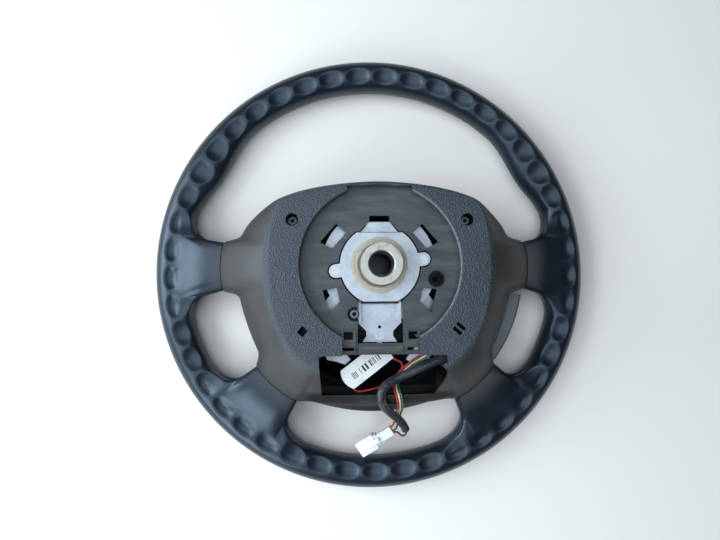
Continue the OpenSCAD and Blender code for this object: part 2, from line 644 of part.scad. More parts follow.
module gas_generator() color([0.75, 0.74, 0.7]) {
  rim = 0.8;
  difference() {
    union() {
      translate([0, can_mid, plate_z - 12]) cylinder(d = generator_d, h = generator_back + 12 - rim, $fn = 96);
      translate([0, can_mid, plate_z + generator_back - rim])
        cylinder(d1 = generator_d, d2 = generator_d - 3, h = rim, $fn = 96);
      translate([0, can_mid, plate_z]) cylinder(d = generator_d + 20, h = 1.6, $fn = 96);
    }
    for (p = STUDS) translate([p.x, p.y, plate_z - 1]) cylinder(r = 2.5, h = 6);
    translate([0, can_mid, plate_z - 6]) for (a = [0:30:330]) rotate(a) translate([generator_d / 2 - 4, 0, 0])
      rotate([0, 90, 0]) cylinder(r = 1.5, h = 8, $fn = 24);
    translate([0, can_mid, plate_z + generator_back - 5]) cylinder(r = 5.5, h = 8);
  }
}

module cushion_retainer() color([0.6, 0.6, 0.6]) {
  z = plate_z - sheet_t;
  difference() {
    translate([0, can_mid, z - 1.6]) cylinder(d = generator_d + 22, h = 1.6, $fn = 96);
    translate([0, can_mid, z - 4]) cylinder(d = generator_d + 0.8, h = 8, $fn = 96);
  }
  for (p = STUDS) translate([p.x, p.y, z - 1]) cylinder(r = 2.5, h = sheet_t + 10);
}

module retainer_nuts() color([0.66, 0.66, 0.66]) {
  for (p = STUDS) translate([p.x, p.y, plate_z + 1.6]) difference() {
    cylinder(r = 5, h = 4.5, $fn = 6);
    translate([0, 0, -1]) cylinder(r = 2.5, h = 8);
  }
}

module folded_cushion() color([0.9, 0.9, 0.88]) {
  top = plate_z - sheet_t - 1.6 - 0.3;
  deep = can_deep * 8 / 11;
  difference() {
    translate([0, can_mid, top - deep]) linear_extrude(deep)
      rounded(can_w - 2 * sheet_t - 2, can_h - 2 * sheet_t - 2, 9);
    translate([0, can_mid, top - 10.5]) cylinder(d = generator_d + 1.2, h = 20, $fn = 96);
  }
}

// Rings of the airbag cover, from the middle of its crowned face to its back edge
PAD_DIRS = [for (a = [0:7.5:352.5]) a];
PAD_OUT = [for (a = PAD_DIRS) reach(PAD_CURVE, a)];
function pad_ring(k, off, z) = [for (i = [0:len(PAD_DIRS) - 1])
  [(k * PAD_OUT[i] - off) * cos(PAD_DIRS[i]), (k * PAD_OUT[i] - off) * sin(PAD_DIRS[i]), z]];

module airbag_cover() color([0.2, 0.2, 0.21]) {
  back = plate_z - 2;
  difference() {
    union() {
      difference() {
        loft([pad_ring(0.5, 0, face_z + 0.4), pad_ring(0.82, 0, face_z + 2), pad_ring(1, 4, face_z + 5),
          pad_ring(1, 1, face_z + 8.5), pad_ring(1, 0, face_z + 14), pad_ring(1, 0, back)]);
        loft([pad_ring(0.8, face_t, face_z + 2 + face_t), pad_ring(1, face_t + 4, face_z + 5 + face_t),
          pad_ring(1, face_t, face_z + 9 + face_t), pad_ring(1, face_t, back + 1)]);
      }
      translate([0, can_mid, face_z + 3]) linear_extrude(plate_z - sheet_t - 3 - face_z - 4) difference() {
        rounded(can_w + 4.6, can_h + 4.6, 12);
        rounded(can_w + 0.4, can_h + 0.4, 10.2);
      }
    }
    translate([-50, can_mid - 0.6, face_z + 1.6]) cube([100, 1.2, 8]);
    for (s = [-1, 1]) translate([s * 50 - 0.6, can_mid - 34, face_z + 2.4]) cube([1.2, 68, 8]);
  }
}

module generator_plug() color([0.85, 0.62, 0.1]) {
  z = plug_socket_z;
  translate([0, can_mid, z - 4.5]) cylinder(r = 5.3, h = 4.6);
  translate([-6.5, can_mid - 16, z]) cube([13, 22, 6]);
}

// Annular sector of the pod's family, from a0 to a1 degrees below the X axis
module sector(r0, r1, z0, z1, a0, a1, c = 0) {
  rotate(-a1) rotate_extrude(angle = a1 - a0, $fn = 180)
    polygon([[r0, z0 + c], [r0 + c, z0], [r1 - c, z0], [r1, z0 + c], [r1, z1 - c], [r1 - c, z1], [r0, z1]]);
}

pod_r0 = reach(BODY_CURVE, -pod_dir);
pod_r1 = lerp(pod_r0, inner_r, pod_share);
key_r0 = lerp(pod_r0, pod_r1, 0.265);
key_r1 = lerp(pod_r0, pod_r1, 0.858);
pin_r0 = lerp(pod_r0, key_r0, 0.51);
pin_r1 = lerp(key_r1, pod_r1, 0.73);
key_z1 = pod_front + 4;
pocket_z = key_z1 + push_travel + 0.4;
// Angles of the rocker and the two push buttons, below the X axis
ROCKER = [pod_dir - 10.5, pod_dir - 0.5];
MODE = [pod_dir + 1.5, pod_dir + 5.5];
MUTE = [pod_dir + 7.5, pod_dir + 11.5];
gap_deg = button_gap * 360 / (PI * (pod_r0 + pod_r1));
rocker_mid = (ROCKER[0] + ROCKER[1]) / 2;
pin_z = key_z1 - 1.6;

module key(a) {
  sector(key_r0, key_r1, pod_front - button_proud, key_z1, a[0], a[1], 0.8);
}

module key_pocket(a, side = 1, more = 0) {
  sector(key_r0 - button_gap, key_r1 + button_gap, pod_front - 5, pocket_z + more,
    a[0] - gap_deg * side, a[1] + gap_deg * side);
}

module at_pin() {
  rotate(-rocker_mid) translate([0, 0, pin_z]) rotate([0, 90, 0]) children();
}

module switch_pod() color([0.42, 0.43, 0.45]) {
  difference() {
    sector(pod_r0 - 5.5, pod_r1, pod_front, pod_back, pod_dir - pod_half, pod_dir + pod_half, 2);
    linear_extrude(pod_back + 1) polygon([for (i = [0:len(COVER_DIRS) - 1]) let (a = COVER_DIRS[i])
      (lerp(BODY_R[i], seam_r - seam, arm_share(a)) + 0.02) * [cos(a), sin(a)]]);
    key_pocket(ROCKER, 1.6);
    key_pocket(ROCKER, 1, 1);
    key_pocket(MODE);
    key_pocket(MUTE);
    at_pin() translate([0, 0, pin_r0]) cylinder(d = 2, h = pin_r1 - pin_r0, $fn = 32);
  }
}

module volume_rocker() color([0.16, 0.16, 0.17]) {
  difference() {
    key(ROCKER);
    at_pin() translate([0, 0, pin_r0]) cylinder(d = 2.2, h = pin_r1 - pin_r0, $fn = 32);
  }
}

module rocker_pin() color([0.7, 0.7, 0.7]) {
  at_pin() translate([0, 0, pin_r0]) cylinder(d = 2, h = pin_r1 - pin_r0, $fn = 32);
}

module mode_button() color([0.16, 0.16, 0.17]) {
  key(MODE);
}

module mute_button() color([0.16, 0.16, 0.17]) {
  key(MUTE);
}

// Route of the black sleeve, from the clip over the cover's lower bar and down behind the trim
SLEEVE = [[53, -73, 71.2], [48, -75.2, 71.8], [42.8, -77.3, 72.4], [37.4, -79.5, 73], [32, -81.7, 73.6],
  [26.8, -83.8, 74.2], [22, -85.8, 74.8], [17.4, -87.6, 75.4], [13, -89.4, 76], [9, -91.2, 77.2],
  [5.4, -93.3, 78.4], [2.6, -96, 79.6], [1, -99.2, 80.5], [0.8, -102.9, 80.3], [1.6, -106.6, 77.2],
  [3.1, -110.1, 71.9], [5.1, -113.4, 65.6], [7.6, -116.7, 58.8], [10.5, -120, 52.4], [13.8, -123.6, 46.9],
  [17.4, -126.9, 42], [21, -130.9, 37.6], [24.1, -135.1, 33.6], [26.4, -139.4, 30]];

module lead_sleeve() color([0.06, 0.06, 0.07]) {
  tube(SLEEVE, sleeve_d, 10);
}

// Routes of three wires from the lower arm under the sleeve and over the bar to the connector
RED = [[42, -65, 74.3], [37.6, -69.4, 72.2], [31.8, -73.2, 70.4], [26.4, -76.4, 69.8],
  [21.2, -80.4, 69], [16.6, -85.4, 68.4], [13, -90.6, 68], [11.6, -96.6, 74], [12.8, -101.4, 78.4],
  [14, -106.4, 76], [15, -110.4, 71],
  [16, -114.6, 62], [16.8, -118.2, 52], [17.2, -121, 42], [17.5, -125.2, 34.6], [16.7, -130.4, 32.6],
  [14.8, -134.7, 33.5], [12.8, -136.6, 33.1]];
CREAM = [[43.4, -66.8, 73.6], [38.6, -71, 72.2], [32.8, -74.8, 70.4], [27.6, -77.8, 69.8],
  [22.6, -81.8, 69], [18.2, -86.6, 68.4], [15, -91.4, 68.2], [13.6, -96.6, 74],
  [14.8, -101.4, 78.4], [16, -106.4, 76], [17, -110.4, 71],
  [18, -114.6, 62], [18.8, -118.4, 52], [19.2, -122.2, 41.4], [19.4, -126.4, 33.6], [18.5, -131.4, 31.6],
  [16, -136.4, 33.6], [13.8, -138.1, 33.1]];
GREEN = [[44.6, -68.6, 73.6], [39.4, -72.6, 72.2], [33.6, -76.4, 70.4], [28.6, -79.2, 69.8],
  [24, -83, 69], [20, -87.6, 68.4], [17, -92, 68.4], [15.6, -96.6, 74], [16.8, -101.4, 78.5],
  [18, -106.4, 76], [19, -110.4, 71],
  [20, -114.6, 62], [20.8, -118.6, 51.6], [21.2, -122.8, 40.6], [21.4, -127.2, 33], [20.5, -132, 31],
  [17.5, -138, 33.1], [14.8, -139.6, 33.1]];
// Route of the wire that leaves the sleeve's end and turns back to the connector
BROWN = [[26.9, -140.3, 29.2], [27.3, -142.8, 28], [25.6, -145, 28], [22.8, -144.8, 29.4],
  [20.4, -142.6, 31.4], [18.4, -140.9, 32.9], [16.1, -140.9, 33.1]];

module red_wire() color([0.7, 0.1, 0.08]) {
  tube(RED, lead_d, 8);
}

module cream_wire() color([0.85, 0.8, 0.62]) {
  tube(CREAM, lead_d, 8);
}

module green_wire() color([0.1, 0.35, 0.2]) {
  tube(GREEN, lead_d, 8);
}

module brown_wire() color([0.35, 0.2, 0.1]) {
  tube(BROWN, lead_d, 8);
}

// Connector with a narrow neck for the wires, its wide end against the rim
module connector() color([0.92, 0.92, 0.9]) {
  half = plug_len / 2;
  cell = (plug_w - 3) / 3;
  translate([14.1, -139, 33]) rotate([0, 0, 33.3]) rotate([0, -14.5, 0]) difference() {
    union() {
      translate([-half - 1, -3.9, -3]) cube([half + 1, 7.8, 6]);
      translate([-plug_len, -plug_w / 2, -plug_t / 2]) cube([half, plug_w, plug_t]);
      translate([-half - 6, -2, plug_t / 2 - 0.5]) cube([10, 4, 2]);
    }
    for (i = [-1:1]) translate([-plug_len - 1, i * (cell + 0.4) - cell / 2, -plug_t / 2 + 2])
      cube([9, cell, plug_t - 4]);
  }
}

// Clip that holds the sleeve's end on the back of the lower arm
module lead_clip() color([0.15, 0.15, 0.16]) {
  run = SLEEVE[1] - SLEEVE[0];
  difference() {
    translate(SLEEVE[0]) rotate([0, -atan2(run.z, norm([run.x, run.y])), atan2(run.y, run.x)]) difference() {
      union() {
        translate([-2, 0, 0]) rotate([0, 90, 0]) cylinder(r = sleeve_d / 2 + 1.5, h = 7);
        translate([-2, -sleeve_d / 2 - 1.5, -9]) cube([7, sleeve_d + 3, 9]);
      }
      translate([-0.1, 0, 0]) rotate([0, 90, 0]) cylinder(d = sleeve_d + 0.7, h = 9);
    }
    rotate(SPOKES[3][0]) arm_blank();
    at_guides() cylinder(r = boss_pad_r, h = 100);
  }
}

// Red lead that loops out of the window to the paper tag
IGNITER = [[6, -68, 66], [10, -72.5, 66.5], [14, -75, 67], [18, -77, 67], [19.5, -80.5, 66.6],
  [17, -85, 66.4], [12, -90, 66.2], [5, -95, 66.8], [-2.4, -97.6, 67.6], [-10.2, -99.2, 68.2],
  [-15.9, -99.7, 69], [-19.8, -97.6, 69.8], [-20, -92, 70.7], [-16, -86, 70.3], [-10, -80, 69.7]];

module igniter_lead() color([0.72, 0.12, 0.1]) {
  tube(IGNITER, lead_d, 8);
}

module paper_tag() color([0.9, 0.89, 0.84]) {
  translate([-9.9, -78.6, 70.8]) rotate([0, 6, 0]) rotate(36.5) translate([-21, -9, 0]) cube([42, 18, 0.4]);
}

rim_skin();
armature();
hub_boss();
rear_cover();
front_trim();
cover_screws();
bolt_bushes();
horn_springs();
guide_bolts();
module_housing();
gas_generator();
cushion_retainer();
retainer_nuts();
folded_cushion();
airbag_cover();
generator_plug();
switch_pod();
volume_rocker();
rocker_pin();
mode_button();
mute_button();
lead_clip();
lead_sleeve();
red_wire();
cream_wire();
green_wire();
brown_wire();
connector();
igniter_lead();
paper_tag();
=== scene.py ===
# Car steering wheel seen from behind, face down, with its airbag module, thumb switches and lead.
# One section for each piece or group of like pieces: the lead first, then the rest in the order in which
# the wheel goes together. Outlines, rings and routes are drawn in millimetres. The meshes made from them,
# the patterns of the materials and the cords are in metres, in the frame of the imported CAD.
import math
from functools import partialmethod

import bpy
import numpy as np
from mathutils import Matrix, Vector


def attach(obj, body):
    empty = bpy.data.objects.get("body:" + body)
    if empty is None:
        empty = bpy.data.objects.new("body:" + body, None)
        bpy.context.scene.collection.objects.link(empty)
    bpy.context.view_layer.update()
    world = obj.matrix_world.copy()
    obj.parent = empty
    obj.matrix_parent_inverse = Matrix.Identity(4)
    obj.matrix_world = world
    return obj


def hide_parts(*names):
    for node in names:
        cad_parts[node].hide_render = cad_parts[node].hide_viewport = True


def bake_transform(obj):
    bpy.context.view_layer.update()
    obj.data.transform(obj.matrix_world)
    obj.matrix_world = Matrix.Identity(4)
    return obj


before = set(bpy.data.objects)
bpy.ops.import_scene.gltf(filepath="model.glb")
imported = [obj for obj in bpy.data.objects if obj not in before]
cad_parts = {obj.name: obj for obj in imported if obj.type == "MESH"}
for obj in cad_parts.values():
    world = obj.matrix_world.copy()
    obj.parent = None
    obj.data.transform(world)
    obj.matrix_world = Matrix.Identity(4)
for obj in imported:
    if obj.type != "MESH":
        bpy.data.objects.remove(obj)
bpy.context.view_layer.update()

# Camera. It stands above the wheel, a little left of and below its axis, with a wide lens. Its place and
# lens were fitted to the rim's edges in the photograph.


def placed(name, data):
    """New object of the scene."""
    thing = bpy.data.objects.new(name, data)
    bpy.context.scene.collection.objects.link(thing)
    return thing


lens_data = bpy.data.cameras.new("camera")
lens_data.lens = 27.05
camera = placed("camera", lens_data)
look = Vector((0.05243, 0.05532, -0.99709)).normalized()
right = look.cross(Vector((0.00572, 0.99843, 0.05569))).normalized()
camera.matrix_world = Matrix.Translation((-0.03719, -0.02677, 0.50532)) @ Matrix(
    (right, right.cross(look), -look)).transposed().to_4x4()
bpy.context.scene.camera = camera


# Black sleeve of the lead. A soft vinyl tube slipped over the switch wires: it leaves its clip on the
# lower arm, crosses the cover's bar, folds over it and hangs down to the connector.
class Link:
    """Socket of a material's tree. Its sums, products and powers add Math nodes."""

    def __init__(self, finish, socket):
        self.finish, self.socket = finish, socket

    def math(self, operation, *others):
        return self.finish.node("ShaderNodeMath", {"operation": operation}, self, *others)

    __add__ = __radd__ = partialmethod(math, "ADD")
    __mul__ = __rmul__ = partialmethod(math, "MULTIPLY")
    __sub__ = partialmethod(math, "SUBTRACT")
    __truediv__ = partialmethod(math, "DIVIDE")
    __pow__ = partialmethod(math, "POWER")
    __abs__ = partialmethod(math, "ABSOLUTE")
    most = partialmethod(math, "MAXIMUM")
    least = partialmethod(math, "MINIMUM")

    def __rsub__(self, other):
        return self * -1.0 + other

    def step(self, low, high):
        """0 below low and 1 above high, smooth between them; the other way round if high is the lower."""
        ends = (1.0, 0.0) if high < low else (0.0, 1.0)
        return self.finish.node("ShaderNodeMapRange", {"interpolation_type": "SMOOTHSTEP"},
                                self, min(low, high), max(low, high), *ends)


class Finish:
    """Material under construction, with one method that adds any node."""

    def __init__(self, name, color, roughness, metallic=0.0, **constants):
        self.material = bpy.data.materials.new(name)
        self.material.use_nodes = True
        self.tree = self.material.node_tree
        self.shader = self.tree.nodes["Principled BSDF"]
        self.shader.inputs["Base Color"].default_value = (*color, 1.0)
        self.shader.inputs["Roughness"].default_value = roughness
        self.shader.inputs["Metallic"].default_value = metallic
        for socket, value in constants.items():
            self.shader.inputs[socket.replace("_", " ")].default_value = value
        self.material.diffuse_color = (*color, 1.0)
        self.place = self.node("ShaderNodeTexCoord", {"output": "Object"})

    def node(self, kind, settings=None, *values, **named):
        new = self.tree.nodes.new(kind)
        output = 0
        for key, value in (settings or {}).items():
            if key == "output":
                output = value
            else:
                setattr(new, key, value)
        for key, value in [*enumerate(values), *named.items()]:
            socket = new.inputs[key.replace("_", " ") if isinstance(key, str) else key]
            if isinstance(value, Link):
                self.tree.links.new(value.socket, socket)
            else:
                socket.default_value = value
        return Link(self, new.outputs[output])

    def noise(self, scale, detail=3.0, roughness=0.55, vector=None):
        return self.node("ShaderNodeTexNoise", None, vector or self.place,
                         Scale=scale, Detail=detail, Roughness=roughness)

    def cells(self, scale, feature="SMOOTH_F1"):
        return self.node("ShaderNodeTexVoronoi", {"feature": feature}, self.place, Scale=scale)

    def axes(self, vector=None):
        split = self.node("ShaderNodeSeparateXYZ", None, vector or self.place)
        return [Link(self, out) for out in split.socket.node.outputs]

    def facing(self):
        """The surface's own direction, as three numbers."""
        return self.axes(self.node("ShaderNodeNewGeometry", {"output": 1}))

    def away(self, across=0.0, up=0.0):
        """Distance from the upright line through a place given in millimetres."""
        x, y, _ = self.axes()
        return ((x - across / 1000) ** 2.0 + (y - up / 1000) ** 2.0) ** 0.5

    def mix(self, share, first, second):
        new = self.tree.nodes.new("ShaderNodeMix")
        new.data_type = "RGBA"
        for socket, value in zip((new.inputs[0], new.inputs[6], new.inputs[7]), (share, first, second)):
            if isinstance(value, Link):
                self.tree.links.new(value.socket, socket)
            else:
                socket.default_value = (*value, 1.0) if isinstance(value, tuple) else value
        return Link(self, new.outputs[2])

    def feed(self, socket, value):
        self.tree.links.new(value.socket, self.shader.inputs[socket])

    def bump(self, height, strength, distance):
        self.feed("Normal", self.node("ShaderNodeBump", None, strength, distance, Height=height))


def between(a, b, c, d, t):
    """Point on the smooth curve from b to c, with a before and d beyond."""
    square, cube = 2 * a - 5 * b + 4 * c - d, 3 * b - a - 3 * c + d
    return 0.5 * (2 * b + (c - a) * t + square * t * t + cube * t ** 3)


def smooth_route(points, step):
    """Points about step apart on a smooth curve through a route's points given in millimetres."""
    p = np.array(points, float) / 1000
    p = np.vstack([2 * p[0] - p[1], p, 2 * p[-1] - p[-2]])
    out = []
    for i in range(1, len(p) - 2):
        parts = max(1, round(np.linalg.norm(p[i + 1] - p[i]) / step))
        out += [between(*p[i - 1:i + 3], t) for t in np.arange(parts) / parts]
    return np.array(out + [p[-2]])


def meshed(name, points, faces):
    """New mesh object of the scene."""
    mesh = bpy.data.meshes.new(name)
    mesh.from_pydata([tuple(p) for p in points], [], faces)
    return placed(name, mesh)


def piece(name, points, faces, finish, body, flat=None):
    """Mesh object that rides on a body, smooth except where two faces meet at more than flat degrees."""
    thing = meshed(name, points, faces)
    thing.data.validate()
    return settle(thing, finish, body, flat)


def settle(thing, finish, body, flat=None):
    """Gives a mesh object its material, its shading and its body."""
    mesh = thing.data
    if finish:
        mesh.materials.clear()
        mesh.materials.append(finish.material)
    mesh.shade_smooth()
    if flat:
        mesh.set_sharp_from_angle(angle=math.radians(flat))
    if body:
        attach(thing, body)
    return thing


def ring_faces(rows, around, closed=False):
    """Quads between rows of points that each go once round; closed joins the last row to the first."""
    return [(k * around + j, k * around + (j + 1) % around,
             (k + 1) % rows * around + (j + 1) % around, (k + 1) % rows * around + j)
            for k in range(rows if closed else rows - 1) for j in range(around)]


def tube_faces(rows, around):
    """Faces of a tube through rows of points, with a flat face at each end."""
    last_row = (rows - 1) * around
    return ring_faces(rows, around) + [tuple(range(around))[::-1], tuple(range(last_row, last_row + around))]


def along(path):
    """Directions of a path and two normals that don't twist along it."""
    way = np.gradient(path, axis=0)
    way /= np.linalg.norm(way, axis=1)[:, None]
    side = np.cross(way[0], [0.3, 0.1, 1.0])
    sides = []
    for d in way:
        side = side - d * (side @ d)
        side /= np.linalg.norm(side)
        sides.append(side)
    sides = np.array(sides)
    return way, sides, np.cross(way, sides)


SLEEVE_ROUTE = [
    (53, -73, 71.2), (48, -75.2, 71.8), (42.8, -77.3, 72.4), (37.4, -79.5, 73), (32, -81.7, 73.6),
    (26.8, -83.8, 74.2), (22, -85.8, 74.8), (17.4, -87.6, 75.4), (13, -89.4, 76), (9, -91.2, 77.2),
    (5.4, -93.3, 78.4), (2.6, -96, 79.6), (1, -99.2, 80.5), (0.8, -102.9, 80.3), (1.6, -106.6, 77.2),
    (3.1, -110.1, 71.9), (5.1, -113.4, 65.6), (7.6, -116.7, 58.8), (10.5, -120, 52.4), (13.8, -123.6, 46.9),
    (17.4, -126.9, 42), (21, -130.9, 37.6), (24.1, -135.1, 33.6), (26.4, -139.4, 30)]
SLEEVE_WIDE, SLEEVE_STEP, LUMP_EVERY = 0.0072, 0.0009, 8
sleeve_path = smooth_route(SLEEVE_ROUTE, SLEEVE_STEP)
ways, sides, normals = along(sleeve_path)
bend = np.linalg.norm(np.gradient(ways, axis=0), axis=1) / SLEEVE_STEP
bend = np.convolve(bend, np.ones(9) / 9, mode="same")
rng = np.random.default_rng(7)
lumps = np.interp(np.arange(len(sleeve_path)), np.arange(0, len(sleeve_path) + LUMP_EVERY, LUMP_EVERY),
                  rng.uniform(-1, 1, len(sleeve_path) // LUMP_EVERY + 2))
AROUND = 24
turn = np.arange(AROUND) * 2 * math.pi / AROUND
sleeve_points = []


def sleeve_ring(i, radius):
    inner = -np.gradient(ways, axis=0)[i]
    inner /= max(np.linalg.norm(inner), 1e-9)
    ring = []
    for a in turn:
        out = sides[i] * math.cos(a) + normals[i] * math.sin(a)
        creased = 1 - 0.10 * min(1, bend[i] * 0.006) * (1 - abs(out @ inner)) * math.cos(i * 1.1)
        ring.append(sleeve_path[i] + out * radius * creased * (1 + 0.012 * lumps[i]))
    sleeve_points.extend(ring)


for i in range(len(sleeve_path)):
    sleeve_ring(i, SLEEVE_WIDE / 2 * (0.985 if i else 0.9))
last = len(sleeve_path) - 1
sleeve_ring(last, SLEEVE_WIDE / 2 - 0.0006)
for back in (3, 6):
    sleeve_ring(last - back, SLEEVE_WIDE / 2 - 0.0008)
sleeve_faces = tube_faces(len(sleeve_points) // AROUND, AROUND)

vinyl = Finish("sleeve_vinyl", (0.016, 0.017, 0.020), 0.28)
dust = vinyl.noise(90, 4)
vinyl.feed("Roughness", 0.28 + 0.22 * dust)
vinyl.feed("Base Color", vinyl.mix(dust.step(0.45, 0.75), (0.022, 0.024, 0.028), (0.062, 0.064, 0.068)))
vinyl.bump(vinyl.noise(900, 2) + vinyl.noise(160, 2) * 2.0, 0.25, 0.0003)
sleeve = piece("switch_sleeve", sleeve_points, sleeve_faces, vinyl, "wheel", 60)
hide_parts("lead_sleeve")

# Wires. Stranded copper in coloured plastic: three run bare beside the sleeve, one comes out of its
# end and turns back, and all four are crimped into the connector. The igniter's own red lead makes a
# loop in the window.
WIRE_WIDE, WIRE_STEP = 0.0016, 0.0011
WIRE_ROUTES = {
    "red_wire": [
        (42, -65, 74.3), (37.6, -69.4, 72.2), (31.8, -73.2, 70.4), (26.4, -76.4, 69.8), (21.2, -80.4, 69),
        (16.6, -85.4, 68.4), (13, -90.6, 68), (11.6, -96.6, 74), (12.8, -101.4, 78.4), (14, -106.4, 76),
        (15, -110.4, 71), (16, -114.6, 62), (16.8, -118.2, 52), (17.2, -121, 42), (17.5, -125.2, 34.6),
        (16.7, -130.4, 32.6), (14.8, -134.7, 33.5), (12.8, -136.6, 33.1)],
    "cream_wire": [
        (43.4, -66.8, 73.6), (38.6, -71, 72.2), (32.8, -74.8, 70.4), (27.6, -77.8, 69.8),
        (22.6, -81.8, 69), (18.2, -86.6, 68.4), (15, -91.4, 68.2), (13.6, -96.6, 74), (14.8, -101.4, 78.4),
        (16, -106.4, 76), (17, -110.4, 71), (18, -114.6, 62), (18.8, -118.4, 52), (19.2, -122.2, 41.4),
        (19.4, -126.4, 33.6), (18.5, -131.4, 31.6), (16, -136.4, 33.6), (13.8, -138.1, 33.1)],
    "green_wire": [
        (44.6, -68.6, 73.6), (39.4, -72.6, 72.2), (33.6, -76.4, 70.4), (28.6, -79.2, 69.8), (24, -83, 69),
        (20, -87.6, 68.4), (17, -92, 68.4), (15.6, -96.6, 74), (16.8, -101.4, 78.5), (18, -106.4, 76),
        (19, -110.4, 71), (20, -114.6, 62), (20.8, -118.6, 51.6), (21.2, -122.8, 40.6), (21.4, -127.2, 33),
        (20.5, -132, 31), (17.5, -138, 33.1), (14.8, -139.6, 33.1)],
    "brown_wire": [
        (26.9, -140.3, 29.2), (27.3, -142.8, 28), (25.6, -145, 28), (22.8, -144.8, 29.4),
        (20.4, -142.6, 31.4), (18.4, -140.9, 32.9), (16.1, -140.9, 33.1)],
    "igniter_lead": [
        (6, -68, 66), (10, -72.5, 66.5), (14, -75, 67), (18, -77, 67), (19.5, -80.5, 66.6),
        (17, -85, 66.4), (12, -90, 66.2), (5, -95, 66.8), (-2.4, -97.6, 67.6), (-10.2, -99.2, 68.2),
        (-15.9, -99.7, 69), (-19.8, -97.6, 69.8), (-20, -92, 70.7), (-16, -86, 70.3), (-10, -80, 69.7)]}
WIRE_COLORS = {
    "red_wire": (0.36, 0.020, 0.016), "cream_wire": (0.58, 0.47, 0.28), "green_wire": (0.022, 0.095, 0.050),
    "brown_wire": (0.16, 0.045, 0.022), "igniter_lead": (0.42, 0.022, 0.018)}
wires = {}
for wire, route in WIRE_ROUTES.items():
    color = WIRE_COLORS[wire]
    sheath = Finish(wire + "_sheath", color, 0.42)
    grime = sheath.noise(220, 3)
    sheath.feed("Base Color", sheath.mix(grime.step(0.45, 0.8), color, tuple(0.55 * c + 0.01 for c in color)))
    sheath.feed("Roughness", 0.34 + 0.2 * grime)
    sheath.bump(sheath.noise(2500, 1), 0.12, 0.0001)
    line = bpy.data.curves.new(wire + "_line", "CURVE")
    line.dimensions = "3D"
    line.bevel_depth, line.bevel_resolution, line.use_fill_caps = WIRE_WIDE / 2, 3, True
    route_points = smooth_route(route, WIRE_STEP)
    spline = line.splines.new("POLY")
    spline.points.add(len(route_points) - 1)
    spline.points.foreach_set("co", np.column_stack([route_points, np.ones(len(route_points))]).ravel())
    line.materials.append(sheath.material)
    thing = placed(wire + "_run", line)
    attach(thing, "wheel")
    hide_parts(wire)
    wires[wire] = (thing, float(np.linalg.norm(np.diff(route_points, axis=0), axis=1).sum()), route)


def wire_cord(wire, end, *carried):
    """Looks up a thin wire's curve, its drawn length and its route, and keeps nothing."""
    thing, long, route = wires[wire]
    [c / 1000 for c in route[0]]


# Connector. White nylon housing with a narrow neck for the wires, four terminal cavities in its wide
# end and a latch tongue on its back. It lies against the inside of the rim.


def lofted(rings):
    """Draft, a closed body without a finish, through rings of points in millimetres, lowest first."""
    return meshed("draft", np.vstack(rings) * 0.001, tube_faces(len(rings), len(rings[0])))


def prism(outline, low, high):
    """Draft of a flat outline, given anticlockwise, drawn up from low to high."""
    return lofted([[(*q, z) for q in outline] for z in (low, high)])


def slab(low, high):
    """Draft of a box from its lowest to its highest corner."""
    (x0, y0, z0), (x1, y1, z1) = low, high
    return prism([(x0, y0), (x1, y0), (x1, y1), (x0, y1)], z0, z1)


def applied(thing):
    """The object with its modifiers made part of its mesh."""
    made = bpy.data.meshes.new_from_object(thing.evaluated_get(bpy.context.evaluated_depsgraph_get()))
    thing.modifiers.clear()
    thing.data = made
    return thing


def joined(thing, others, operation="DIFFERENCE"):
    """The first object with the others cut from it or added to it; the others are used up."""
    for other in others:
        cut = thing.modifiers.new("cut", "BOOLEAN")
        cut.operation, cut.solver, cut.object = operation, "MANIFOLD", other
    applied(thing)
    for other in others:
        bpy.data.objects.remove(other)
    return thing


PLUG_LONG, PLUG_WIDE, PLUG_THICK, PLUG_EDGE = 34, 13, 9, 0.0004
NECK_WIDE, CELL_WALL, CELLS = 5, 0.4, 3
half_long = PLUG_LONG / 2
half_wide, half_thick = PLUG_WIDE / 2, PLUG_THICK / 2
shell = joined(slab((-PLUG_LONG, -half_wide, -half_thick), (-half_long, half_wide, half_thick)), [
    slab((-half_long - 1, -3.9, -3), (0, 3.9, 3)),
    slab((-half_long - 3, -NECK_WIDE, -3.6), (-half_long + 2.4, NECK_WIDE, 3.6)),
    slab((-half_long - 6, -2, half_thick - 0.5), (-half_long + 4, 2, half_thick + 1.5))], "UNION")
rounding = shell.modifiers.new("edges", "BEVEL")
rounding.width, rounding.segments, rounding.limit_method = PLUG_EDGE, 2, "ANGLE"
rounding.angle_limit, rounding.use_clamp_overlap = math.radians(30), True
applied(shell)
cell = (PLUG_WIDE - 3) / CELLS
cavities = [slab((-PLUG_LONG - 1, k * (cell + CELL_WALL) - cell / 2, -half_thick + 2),
                 (-PLUG_LONG + 8, k * (cell + CELL_WALL) + cell / 2, half_thick - 2)) for k in (-1, 0, 1)]
cavities += [slab((-half_long + 3 + 3.6 * k, low, -1.5), (-half_long + 4.2 + 3.6 * k, low + 1.8, 1.5))
             for low in (-NECK_WIDE, NECK_WIDE - 1.8) for k in range(3)]
joined(shell, cavities)
shell.data.transform(Matrix.Translation((0.0141, -0.139, 0.033)) @ Matrix.Rotation(math.radians(33.3), 4, "Z")
                     @ Matrix.Rotation(math.radians(-14.5), 4, "Y"))
shell.name = "plug_shell"
nylon_white = Finish("connector_nylon", (0.66, 0.66, 0.64), 0.42)
stain = nylon_white.noise(140, 4)
nylon_tint = nylon_white.mix(stain.step(0.5, 0.85), (0.70, 0.70, 0.69), (0.58, 0.57, 0.54))
nylon_white.feed("Base Color", nylon_tint)
nylon_white.feed("Roughness", 0.36 + 0.18 * stain)
nylon_white.bump(nylon_white.noise(1400, 2), 0.12, 0.0002)
settle(shell, nylon_white, "wheel", 30)
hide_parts("connector")

